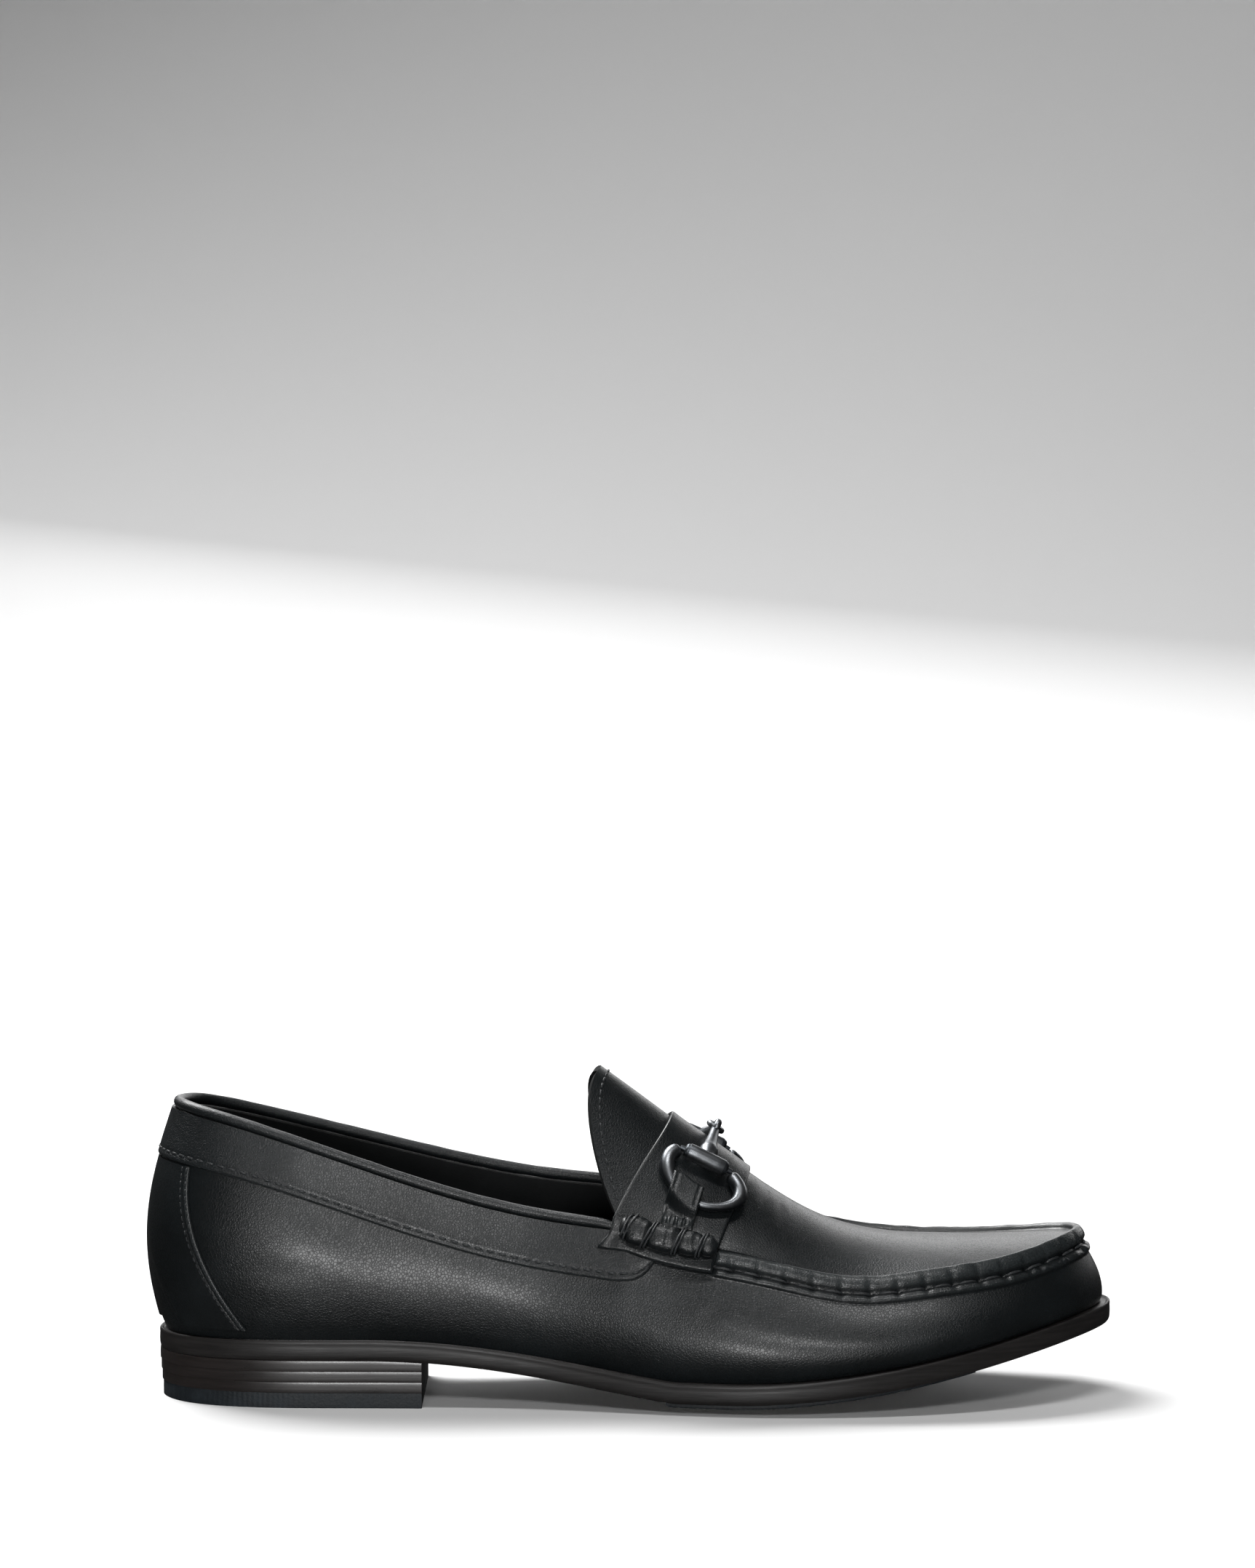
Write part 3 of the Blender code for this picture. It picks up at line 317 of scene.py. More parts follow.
# What a piece of each side is called, and the name that its solid ends in.
SIDE_NAMES = {OUTER: ("outer", "lateral"), INNER: ("inner", "medial")}


def lap_of(side, way):
    return way if side == OUTER else 2 - way


def way_of(lap):
    return 1 - np.abs(1 - np.asarray(lap) % 2)


def heel_share(x):
    """How much of the heel's rise the sole has at x."""
    ramp = clamp((WAIST_END - x / SOLE_LENGTH) / WAIST_RUN)
    return np.sin(np.pi / 2 * ramp ** 1.15)


def toe_share(x):
    ramp = clamp((x / SOLE_LENGTH - TOE_START) / (1 - TOE_START), 0.0, 1.2)
    return (1 + TOE_LEVEL) * ramp ** TOE_CURVE - TOE_LEVEL * ramp ** (4 * TOE_CURVE)


def edge_floor(x):
    """The height of the outsole's lower edge."""
    base = TREAD_THICKNESS + GAP + EDGE_RISE
    return base + (HEEL_RISE - base) * heel_share(x) + (TOE_SPRING - base) * toe_share(x)


def under_sole(x, cross):
    """The height of the outsole's underside; cross runs from -1 to 1 between its edges."""
    cup = EDGE_RISE * (1 - heel_share(x)) * (1 - clamp(toe_share(x))) ** 2
    bow = clamp((np.abs(cross) - FLAT_SHARE) / (1 - FLAT_SHARE)) ** 2
    return edge_floor(x) - cup * (1 - bow)


def over_sole(x):
    return edge_floor(x) + OUTSOLE_THICKNESS


def wall_tables():
    """Each column of the wall's table as one smooth closed curve round the shoe."""
    knots = [row.way for row in WALL] + [2 - row.way for row in WALL[-2:0:-1]]
    tables = {}
    for name in ("foot", "top", "belly", "peak"):
        outer = "peak" if name == "peak" else name + "_out"
        inner = "peak" if name == "peak" else name + "_in"
        values = [getattr(row, outer) for row in WALL] + [getattr(row, inner) for row in WALL[-2:0:-1]]
        tables[name] = ring_spline(knots, values, 2.0)
    return tables


WALL_TABLE = wall_tables()
COLLAR_TABLE = {
    OUTER: spline([row.way for row in COLLAR], [row.outer for row in COLLAR]),
    INNER: spline([row.way for row in COLLAR], [row.inner for row in COLLAR]),
}
VAMP_TABLE = {name: spline([row.along for row in VAMP], [getattr(row, name) for row in VAMP])
              for name in VampRow._fields[1:]}


def bow_of(t, roof):
    """How far a section has fallen at t half widths from its crest."""
    peak = np.hypot(t, ROOF_CREST) - ROOF_CREST
    full = math.hypot(1, ROOF_CREST) - ROOF_CREST
    return (1 - roof) * t * t + roof * peak / full


def vamp_height(x, y):
    """The height of the vamp's leather over a place in the plan."""
    row = {name: table(x / SOLE_LENGTH) for name, table in VAMP_TABLE.items()}
    t = (y / BALL_WIDTH - row["middle"]) / row["half"]
    fall = np.where(t > 0, row["fall_in"], row["fall_out"])
    return INSTEP_HEIGHT * (row["spine"] - fall * bow_of(np.abs(t), clamp(row["roof"])))


def vamp_at(plan):
    """Points of the vamp over places in the plan, and their outward directions."""
    x, y = plan[..., 0], plan[..., 1]
    h = 0.5 * MM
    rise_x = (vamp_height(x + h, y) - vamp_height(x - h, y)) / (2 * h)
    rise_y = (vamp_height(x, y + h) - vamp_height(x, y - h)) / (2 * h)
    out = np.stack((-rise_x, -rise_y, np.ones_like(rise_x)), axis=-1)
    return np.stack((x, y, vamp_height(x, y)), axis=-1), unit(out)


def top_plan(lap):
    return PLAN.at(lap, APRON_INSET * WALL_TABLE["top"](lap))[0]


WAYS = np.linspace(0.0, 1.0, 2001)
TOP_X = {side: top_plan(lap_of(side, WAYS))[:, 0] for side in (OUTER, INNER)}
TOP_Y = {side: top_plan(lap_of(side, WAYS))[:, 1] for side in (OUTER, INNER)}
THROAT = {side: float(np.interp(THROAT_PLACE, TOP_X[side], WAYS)) for side in (OUTER, INNER)}
THROAT_HEIGHT = {side: float(vamp_height(*top_plan(lap_of(side, THROAT[side])))) for side in (OUTER, INNER)}


def throat_of(lap):
    return np.where(np.asarray(lap) % 2 <= 1, THROAT[OUTER], THROAT[INNER])


def top_height(lap):
    """The height of the top line: the collar behind the throat, the apron's seam before it."""
    way, throat = way_of(lap), throat_of(lap)
    place = top_plan(lap)
    scaled = np.minimum(way / throat, 1) * COLLAR[-1].way
    outer = np.asarray(lap) % 2 <= 1
    share = np.where(outer, COLLAR_TABLE[OUTER](scaled), COLLAR_TABLE[INNER](scaled))
    base = np.where(outer, THROAT_HEIGHT[OUTER], THROAT_HEIGHT[INNER])
    collar = base + share * (COLLAR_BACK_HEIGHT - base)
    return np.where(way >= throat, vamp_height(place[..., 0], place[..., 1]), collar)


def wall_point(lap, up):
    """Points of the upper's wall; up runs from its foot, 0, to the top line, 1."""
    lap, up = np.broadcast_arrays(np.asarray(lap, float), np.asarray(up, float))
    foot_in = WELT * WALL_TABLE["foot"](lap)
    top_in = APRON_INSET * WALL_TABLE["top"](lap)
    peak = clamp(WALL_TABLE["peak"](lap), 0.2, 0.6)
    bulge = np.sin(np.pi * clamp(up) ** (math.log(0.5) / np.log(peak)))
    inset = foot_in + (top_in - foot_in) * up - BELLY * WALL_TABLE["belly"](lap) * bulge
    place = PLAN.at(lap, inset)[0]
    foot = over_sole(PLAN.at(lap, foot_in)[0][..., 0]) + GAP
    return np.stack((place[..., 0], place[..., 1], foot + (top_height(lap) - foot) * up), axis=-1)


def wall_at(lap, up):
    """Points of the wall and their outward directions."""
    h = 0.002
    ahead, behind = wall_point(np.asarray(lap) + h, up), wall_point(np.asarray(lap) - h, up)
    low = wall_point(lap, np.maximum(0.0, np.asarray(up) - 0.02))
    high = wall_point(lap, np.minimum(1.0, np.asarray(up) + 0.02))
    return wall_point(lap, up), unit(np.cross(ahead - behind, high - low))


def wall_height(lap):
    return wall_point(lap, 1.0)[..., 2] - wall_point(lap, 0.0)[..., 2]


def seam_middle(share):
    """Half way between the two seams, at a share of the way from the throat to the toe."""
    return sum(top_plan(lap_of(side, THROAT[side] + share * (1 - THROAT[side])))[..., 0]
               for side in (OUTER, INNER)) / 2


def spine_middle(x):
    """How far the vamp's crest stands to the inner side at x."""
    return VAMP_TABLE["middle"](x / SOLE_LENGTH) * BALL_WIDTH


def rib_share(lap):
    throat = throat_of(lap)
    return clamp((way_of(lap) - throat) / (1 - throat))


def rib_plan(lap, over):
    """A rib's place in the plan; over runs from the seam, 0, to the spine, 1."""
    lap, over = np.broadcast_arrays(np.asarray(lap, float), np.asarray(over, float))
    share = rib_share(lap)
    seam = top_plan(lap)
    start, end = seam_middle(np.zeros(1))[0], seam_middle(np.ones(1))[0]
    tongue_tip, apron_tip = start - TONGUE_REACH, end - APRON_END
    spine_x = tongue_tip + (apron_tip - tongue_tip) * (seam_middle(share) - start) / (end - start)
    eased = over + clamp(1 - share / 0.4) * (np.sin(np.pi / 2 * over) - over)
    bell = np.maximum(0.0, np.sin(np.pi * clamp(over) ** 0.72)) ** (1 + 0.8 * over ** 3)
    curl = TONGUE_CURL * clamp(1 - share / 0.25) ** 2 * bell
    x = seam[..., 0] + (spine_x - seam[..., 0]) * eased - curl
    y = seam[..., 1] + (spine_middle(spine_x) - seam[..., 1]) * over
    return np.stack((x, y), axis=-1)


def rib_reach(lap):
    return np.linalg.norm(rib_plan(lap, 1.0) - top_plan(lap), axis=-1)


def strap_lap(side, place):
    """The lap at which the top line passes a place ahead of the throat."""
    return lap_of(side, np.interp(THROAT_PLACE + place, TOP_X[side], WAYS))


def strap_lift(over):
    """The strap's ends lie over the collar band, its middle on the vamp."""
    return (BAND_THICKNESS + GAP) * smooth(1 - over / 0.25)


def strap_at(side, across, over):
    """Points of the leather under the strap: across runs from its rear edge, 0, to its front edge, 1;
    over from its sewn end, -1, to the top line, 0, and the spine, 1."""
    across, over = np.broadcast_arrays(np.asarray(across, float), np.asarray(over, float))
    down = smooth(-over)
    rear = STRAP_SIDE_REAR + (STRAP_END_REAR - STRAP_SIDE_REAR) * down
    width = STRAP_SIDE_WIDTH + (STRAP_END_WIDTH - STRAP_SIDE_WIDTH) * down
    lap = strap_lap(side, rear + across * width)
    low_point, low_out = wall_at(lap, 1 + np.minimum(over, 0) * STRAP_DROP / wall_height(lap))
    start = top_plan(strap_lap(side, STRAP_SIDE_REAR + across * STRAP_SIDE_WIDTH))
    end_x = THROAT_PLACE + STRAP_TOP_REAR + across * STRAP_TOP_WIDTH
    eased = np.sin(np.pi / 2 * clamp(over))
    x = start[..., 0] + (end_x - start[..., 0]) * eased
    y = start[..., 1] + (spine_middle(end_x) - start[..., 1]) * clamp(over)
    high_point, high_out = vamp_at(np.stack((x, y), axis=-1))
    turn = smooth(over / 0.12 / 2 + 0.5)[..., None]
    out = unit(low_out * (1 - turn) + high_out * turn)
    return np.where((over > 0)[..., None], high_point, low_point), out


def over_strap(over):
    """The height of the strap's outer face over the leather."""
    return GAP + STRAP_THICKNESS + strap_lift(over)


def seam_out(side, x):
    """How far the seam line stands out from the vamp's crest at x."""
    return np.abs(np.interp(x, TOP_X[side], TOP_Y[side]) - spine_middle(x))


def ring_line():
    """How far out from the spine the rings' outer line lies, just clear of the seam rolls."""
    return min(seam_out(side, BIT_PLACE) for side in (OUTER, INNER)) - ROLL_HEIGHT / 2 - RING_WIRE / 2


def bit_at(side, along, out_from_spine, lift):
    """Points over the strap, placed in the plan: along the shoe and out from the spine."""
    x, reach, lift = np.broadcast_arrays(BIT_PLACE + np.asarray(along, float), out_from_spine, lift)
    point, out = vamp_at(np.stack((x, spine_middle(x) + side * reach), axis=-1))
    over = 1 - reach / seam_out(side, x)
    return point + out * (over_strap(over) + lift)[..., None], out


class Body:
    """Points and faces gathered for one mesh, with each point's wear (rubbed wear, and on ridges and tops a
    painted highlight) and each face's finish.
    """

    def __init__(self):
        self.points, self.wear, self.faces, self.finishes = [], [], [], []
        self.count = 0

    def add_points(self, points, wear=0.0):
        points = np.asarray(points, float).reshape(-1, 3)
        base = self.count
        self.points.append(points)
        self.wear.append(np.broadcast_to(np.asarray(wear, float).reshape(-1), (len(points),)))
        self.count += len(points)
        return base

    def add_faces(self, faces, finish=0):
        rows = np.asarray(faces).reshape(-1, faces.shape[-1]).tolist()
        faces = [list(dict.fromkeys(row)) for row in rows]
        faces = [face for face in faces if len(face) > 2]
        self.faces += faces
        self.finishes += [finish] * len(faces)

    def make(self, name, finishes, slot, stands_for=(), crease=40.0):
        """One closed piece, welded, facing out, riding on the shoe in place of its CAD nodes."""
        mesh = bpy.data.meshes.new(name)
        mesh.from_pydata((np.concatenate(self.points) + np.array(HOME)).tolist(), [], self.faces)
        mesh.attributes.new("wear", "FLOAT", "POINT").data.foreach_set("value", np.concatenate(self.wear))
        for finish in finishes:
            mesh.materials.append(finish)
        mesh.polygons.foreach_set("material_index", self.finishes)
        shape = bmesh.new()
        shape.from_mesh(mesh)
        bmesh.ops.delete(shape, geom=[vert for vert in shape.verts if not vert.link_faces], context="VERTS")
        bmesh.ops.remove_doubles(shape, verts=shape.verts, dist=0.01 * MM)
        bmesh.ops.dissolve_degenerate(shape, edges=shape.edges, dist=0.005 * MM)
        bmesh.ops.recalc_face_normals(shape, faces=shape.faces)
        shape.to_mesh(mesh)
        shape.free()
        mesh.shade_smooth()
        mesh.set_sharp_from_angle(angle=math.radians(crease))
        made = bpy.data.objects.new(name, mesh)
        bpy.context.scene.collection.objects.link(made)
        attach(made, "root")
        if stands_for:
            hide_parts(*stands_for)
        return made

    def make_pair(self, name, side, finishes, slot, crease):
        """A piece that stands for the solid of the same name on its side."""
        piece, solid = SIDE_NAMES[side]
        return self.make(name + piece, finishes, slot, [name + solid], crease)


def quads(rows, columns, wrap_rows=False, wrap_columns=False):
    """The faces of a grid of points, row by row."""
    i, j = np.meshgrid(np.arange(rows if wrap_rows else rows - 1),
                       np.arange(columns if wrap_columns else columns - 1), indexing="ij")
    k, n = (i + 1) % rows, (j + 1) % columns
    corners = (i * columns + j, i * columns + n, k * columns + n, k * columns + j)
    return np.stack(corners, axis=-1).reshape(-1, 4)


def add_sheet(body, point, out, low, high, wear=0.0, finish=0, edge_finish=None):
    """A closed sheet over a grid of points: an outer face, an inner face and the rim between them."""
    rows, columns = point.shape[:2]
    wear = np.broadcast_to(wear, (rows, columns))
    top = body.add_points(point + out * np.broadcast_to(high, (rows, columns))[..., None], wear)
    under = body.add_points(point + out * np.broadcast_to(low, (rows, columns))[..., None])
    faces = quads(rows, columns)
    body.add_faces(faces + top, finish)
    body.add_faces(faces[:, ::-1] + under, finish)
    ids = np.arange(rows * columns).reshape(rows, columns)
    rim = np.concatenate((ids[0], ids[1:, -1], ids[-1, -2::-1], ids[-2:0:-1, 0]))
    ahead = np.roll(rim, -1)
    walls = np.stack((rim + top, rim + under, ahead + under, ahead + top), axis=-1)
    body.add_faces(walls, finish if edge_finish is None else edge_finish)


def add_loft(body, rings, closed=False, wear=0.0, finish=0, caps=(True, True)):
    """A skin over equal rings of points, with capped ends unless it closes on itself."""
    count, size = rings.shape[:2]
    base = body.add_points(rings, np.broadcast_to(wear, (count, size)))
    body.add_faces(quads(count, size, wrap_rows=closed, wrap_columns=True) + base, finish)
    for end, cap in ((0, caps[0]), (count - 1, caps[1])):
        if cap and not closed:
            middle = body.add_points(rings[end].mean(axis=0), np.broadcast_to(wear, (count, size))[end, 0])
            ids = np.arange(size)
            fan = np.stack((base + end * size + ids, base + end * size + (ids + 1) % size,
                            np.full(size, middle)), axis=-1)
            body.add_faces(fan, finish)


def tube_rings(path, out, deep, wide, sides, power=1.0):
    """Rings of an oval tube along a path: deep is its half size along out, wide across it."""
    run = unit(np.gradient(path, axis=0))
    out = unit(out - run * (out * run).sum(axis=-1, keepdims=True))
    flank = np.cross(run, out)
    c, s = squarish(turns(sides), power)
    deep = np.broadcast_to(deep, (len(path),))[:, None, None]
    wide = np.broadcast_to(wide, (len(path),))[:, None, None]
    return path[:, None] + out[:, None] * c[None, :, None] * deep + flank[:, None] * s[None, :, None] * wide


def lengths(path):
    return np.concatenate(([0], np.cumsum(np.linalg.norm(np.diff(path, axis=0), axis=-1))))


def along(path, values, places):
    """Values that belong to a path's points, read at distances along it."""
    run = lengths(path)
    return np.stack([np.interp(places, run, values[:, i]) for i in range(values.shape[1])], axis=-1)


STITCH_SIDES = 8
STITCH_RINGS = np.array((-1.0, -0.86, -0.5, 0.0, 0.5, 0.86, 1.0))


def add_stitches(body, path, out, pitch, length, thread, proud, lean=0.0):
    """A row of stitches along a path on the leather; each dips into its two holes."""
    total = lengths(path)[-1]
    count = max(1, int(total / pitch))
    middles = (np.arange(count) + 0.5) * total / count
    for middle in middles:
        places = middle + STITCH_RINGS * length / 2
        points, outs = along(path, path, places), unit(along(path, out, places))
        run = unit(points[-1:] - points[:1])
        flank = np.cross(run, outs)
        bow = 1 - STITCH_RINGS ** 4
        points = points + outs * (proud * bow - thread * 0.7 * (1 - bow))[:, None]
        points = points + flank * (STITCH_RINGS * lean)[:, None]
        radius = thread / 2 * (0.55 + 0.45 * np.sqrt(np.maximum(0, 1 - STITCH_RINGS ** 4)))
        add_loft(body, tube_rings(points, outs, radius * 0.8, radius, STITCH_SIDES), wear=0.5)


def turned_edge(distance, thickness, stitch_at, dip):
    """The thickness of a sheet at a distance from its turned edge, with the stitches' shallow groove."""
    groove = dip * hill(distance, stitch_at, 0.5 * MM)
    return thickness * (0.30 + 0.70 * rounded(distance, 0.8 * MM)) - groove


def ripple(place, period, seed=0.0):
    """A wave that doesn't repeat, from -1 to 1."""
    a = np.sin(2 * np.pi * place / period + seed)
    b = np.sin(2 * np.pi * place / (period * 1.618) + 2.1 * seed + 1.3)
    c = np.sin(2 * np.pi * place / (period * 0.731) - 1.7 * seed)
    return (a + b + 0.6 * c) / 2.6


# Soft creases of the upper. On the wall a place is a lap and an up; on the vamp it is along the sole
# and across the ball. turn is the crease's direction in degrees; length, width and depth are in mm.
Crease = namedtuple("Crease", "first second turn length width depth")
WALL_CREASES = table(
    Crease,
    (0.560, 0.62, 50, 26, 5.0, 0.07), (0.610, 0.60, 62, 22, 4.6, 0.06),
    (0.470, 0.66, 25, 30, 5.5, 0.16), (0.160, 0.36, 12, 34, 6.0, 0.16),
    (1.430, 0.60, -54, 24, 5.0, 0.10), (1.390, 0.56, -62, 20, 4.4, 0.08),
    (1.530, 0.62, -26, 28, 5.5, 0.16),
)
VAMP_CREASES = table(
    Crease,
    (0.618, -0.13, 74, 20, 2.4, 0.20), (0.634, -0.10, 80, 24, 2.6, 0.22),
    (0.650, -0.15, 84, 17, 2.2, 0.16), (0.628, 0.12, -76, 22, 2.4, 0.22),
    (0.645, 0.14, -82, 18, 2.2, 0.16), (0.505, -0.24, 60, 9, 1.6, 0.16),
    (0.500, 0.24, -60, 9, 1.6, 0.16),
)


def crease_depth(creases, across, up, across_size, up_size):
    """How far a set of creases presses the leather in at places in their own two coordinates."""
    depth = np.zeros(np.broadcast(across, up).shape)
    for crease in creases:
        turn = math.radians(crease.turn)
        u, v = (across - crease.first) * across_size, (up - crease.second) * up_size
        run = (u * math.cos(turn) + v * math.sin(turn)) / (crease.length / 2 * MM)
        side = (v * math.cos(turn) - u * math.sin(turn)) / (crease.width / 2 * MM)
        side = side + 0.5 * np.sin(run * 2.3 + crease.first * 40)
        groove = np.exp(-side ** 2) - 0.45 * np.exp(-(np.abs(side) - 1.7) ** 2)
        depth += crease.depth * MM * groove * clamp(1 - run ** 2) ** 2
    return depth


COLLAR_STEPS = 70
VAMP_STEPS = 290
WALL_STEPS = 22
APRON_STEPS = 24
LINING_STEPS = 12
WALL_RIDGE = [row for row in RIDGE if row.reach >= 0]
APRON_RIDGE = [row for row in RIDGE if row.reach < 0]


def upper_laps():
    ways = [np.concatenate((np.linspace(0, THROAT[side], COLLAR_STEPS, endpoint=False),
                            np.linspace(THROAT[side], 1, VAMP_STEPS + 1))) for side in (OUTER, INNER)]
    return np.concatenate((ways[0], 2 - ways[1][1:-1][::-1]))


def ridge_strength(lap):
    """The ridge runs only before the strap, and starts at its front edge."""
    return smooth((way_of(lap) - throat_of(lap) - RIDGE_START) / RIDGE_FADE)


def seam_lean(lap):
    """The direction halfway between the wall's and the apron's, at the seam line."""
    return unit(wall_at(lap, 1.0)[1] + vamp_at(top_plan(lap))[1])


def stitch_pull(run, pitch):
    """How strongly the leather is drawn in at a distance along the seam: 1 at each hole."""
    off = np.abs((run / pitch) % 1 - 0.5) * pitch
    return hill(off, 0.0, 1.1 * MM)


def ridge_height(row, lap, run, sizes):
    """The ridge's height for one row of its section, with the pull of the stitches and the toe's pleats."""
    toe = smooth((way_of(lap) - 0.80) / 0.12)
    pleat = toe * ripple(run, sizes.pleat_pitch, 0.7) * 0.30 * hill(row.reach, 0.80, 0.16)
    wave = 0.07 * ripple(run, 11 * MM, row.reach)
    rise = row.rise * (1 + wave) - 0.36 * row.pull * stitch_pull(run, sizes.seam_pitch) + pleat
    return ridge_strength(lap) * sizes.ridge_height * rise


def wall_rows(laps, ups):
    """The wall's outer face with its creases."""
    point, out = wall_at(laps, ups)
    half_round = PLAN.length / 2
    depth = crease_depth(WALL_CREASES, np.asarray(laps) % 2, ups, half_round, 55 * MM)
    depth = depth + 0.10 * MM * ripple(point[..., 0] * 0.7 + point[..., 2], 31 * MM, 0.4)
    inside = smooth(np.asarray(ups) / 0.12) * smooth((1 - np.asarray(ups)) / 0.15)
    foot = 1 - smooth(np.asarray(ups) / 0.05)
    point = point - out * (depth * inside + 0.5 * MM * foot)[..., None]
    return point - np.array((0.0, 0.0, 1.0)) * (0.45 * MM * foot)[..., None], out


def vamp_rows(laps, overs):
    """The vamp's outer face with its creases."""
    plan = rib_plan(laps, overs)
    point, out = vamp_at(plan)
    depth = crease_depth(VAMP_CREASES, plan[..., 0] / SOLE_LENGTH, plan[..., 1] / BALL_WIDTH,
                         SOLE_LENGTH, BALL_WIDTH)
    depth = depth + 0.08 * MM * ripple(plan[..., 0] + plan[..., 1] * 0.5, 27 * MM, 1.1) * smooth(overs / 0.2)
    return point - out * depth[..., None], out


def outer_skin(laps, sizes):
    """Every row of the upper's outer face, from the foot to the spine, and how much lighter rubbed wear and
    painted highlight each point has.
    """
    tall = wall_height(laps)
    run = lengths(np.vstack((wall_point(laps, 1.0), wall_point(laps[:1], 1.0))))[:-1]
    first = 1 - RIDGE[0].reach * RIDGE_WIDTH / tall
    rows, wear = [], []
    for share in np.linspace(0, 1, WALL_STEPS, endpoint=False):
        rows.append(wall_rows(laps, first * share ** 0.85)[0])
        wear.append(np.zeros(len(laps)))
    lean = seam_lean(laps)
    for row in WALL_RIDGE:
        point, out = wall_rows(laps, 1 - row.reach * RIDGE_WIDTH / tall)
        turn = np.where(way_of(laps) > throat_of(laps), smooth(1 - row.reach / 0.30), 0.0)[:, None]
        out = unit(out * (1 - turn) + lean * turn)
        rows.append(point + out * ridge_height(row, laps, run, sizes)[:, None])
        # The ridge's high places get the lighter calf colour: rubbed wear and painted highlight.
        wear.append(ridge_strength(laps) * row.rise)
    reach = rib_reach(laps)
    for row in APRON_RIDGE:
        point, out = vamp_rows(laps, -row.reach * RIDGE_WIDTH / reach)
        turn = smooth(1 + row.reach / 0.14)
        out = unit(out * (1 - turn) + lean * turn)
        rows.append(point + out * ridge_height(row, laps, run, sizes)[:, None])
        # The ridge's high places get the lighter calf colour: rubbed wear and painted highlight.
        wear.append(ridge_strength(laps) * row.rise)
    start = -RIDGE[-1].reach * RIDGE_WIDTH / reach
    for share in np.linspace(0, 1, APRON_STEPS + 1)[1:]:
        rows.append(vamp_rows(laps, start + (1 - start) * share)[0])
        wear.append(np.zeros(len(laps)))
    return np.stack(rows, axis=1), np.stack(wear, axis=1)


def inner_skin(laps):
    """Every row of the lining, from the foot to the spine."""
    rows = []
    for up in np.linspace(0, 1, LINING_STEPS, endpoint=False):
        point, out = wall_at(laps, up)
        rows.append(point - out * LEATHER_WALL)
    point, out = wall_at(laps, 1.0)
    ahead = (way_of(laps) >= throat_of(laps) - 1e-6)[:, None]
    rows.append(point - np.where(ahead, seam_lean(laps), out) * LEATHER_WALL)
    reach = rib_reach(laps)
    start = -RIDGE[-1].reach * RIDGE_WIDTH / reach
    overs = [-row.reach * RIDGE_WIDTH / reach for row in APRON_RIDGE]
    overs += [start + (1 - start) * share for share in np.linspace(0, 1, APRON_STEPS + 1)[1:]]
    for over in overs:
        point, out = vamp_at(rib_plan(laps, over))
        rows.append(point - out * LEATHER_WALL)
    return np.stack(rows, axis=1)


def skin_ids(base, count, rows, throat, toe):
    """Point numbers of a skin; past the toe a rib ends in the spine point of its twin."""
    ids = base + np.arange(count * rows).reshape(count, rows)
    for j in range(toe + 1, count - throat + 1):
        ids[j, -1] = ids[count - j, -1]
    return ids


def make_upper(sizes, finishes):
    """The hollow upper in one piece: outer skin with the moccasin seam, lining, and the cut edges."""
    laps = upper_laps()
    count = len(laps)
    throat, toe = COLLAR_STEPS, COLLAR_STEPS + VAMP_STEPS
    body = Body()
    outer, wear = outer_skin(laps, sizes)
    inner = inner_skin(laps)
    out_ids = skin_ids(body.add_points(outer, wear), count, outer.shape[1], throat, toe)
    in_ids = skin_ids(body.add_points(inner), count, inner.shape[1], throat, toe)
    out_rim = WALL_STEPS + len(WALL_RIDGE) - 1
    in_rim = LINING_STEPS
    vamp = slice(throat, count - throat + 1)
    for ids, rim, finish in ((out_ids, out_rim, 0), (in_ids, in_rim, 1)):
        low = ids[:, :rim + 1]
        low = np.vstack((low, low[:1]))
        high = ids[vamp, rim:]
        for block in (low, high):
            faces = np.stack((block[:-1, :-1], block[1:, :-1], block[1:, 1:], block[:-1, 1:]), axis=-1)
            body.add_faces(faces.reshape(-1, 4), finish)

    def strip(a, b):
        body.add_faces(np.stack((a[:-1], b[:-1], b[1:], a[1:]), axis=-1), 2)

    strip(np.append(out_ids[:, 0], out_ids[0, 0]), np.append(in_ids[:, 0], in_ids[0, 0]))
    collar = np.arange(-throat, throat + 1)
    strip(out_ids[collar, out_rim], in_ids[collar, in_rim])
    for station in (throat, count - throat):
        strip(out_ids[station, out_rim:], in_ids[station, in_rim:])
    return body.make("upper_leather", finishes, "black_calf", ["upper"], crease=60.0)


def collar_laps(last, count):
    """Laps round the collar, from the outer throat by the back of the heel to the inner one."""
    share = np.linspace(0, 1, count)
    return np.concatenate((last * THROAT[OUTER] * (1 - share), -last * THROAT[INNER] * share[1:]))


def band_depth(lap):
    """How far the band reaches down, with a rounded front corner."""
    left = BAND_END - way_of(lap) / throat_of(lap)
    return BAND_HEIGHT * np.maximum(0.25, rounded(left, BAND_CORNER))


EDGE_STEPS = np.array((0.0, 0.1, 0.25, 0.45, 0.7, 1.0, 1.4, 1.75, 2.1, 2.45, 2.8, 3.3, 4.2)) * MM
STITCH_INSET = 2.1 * MM


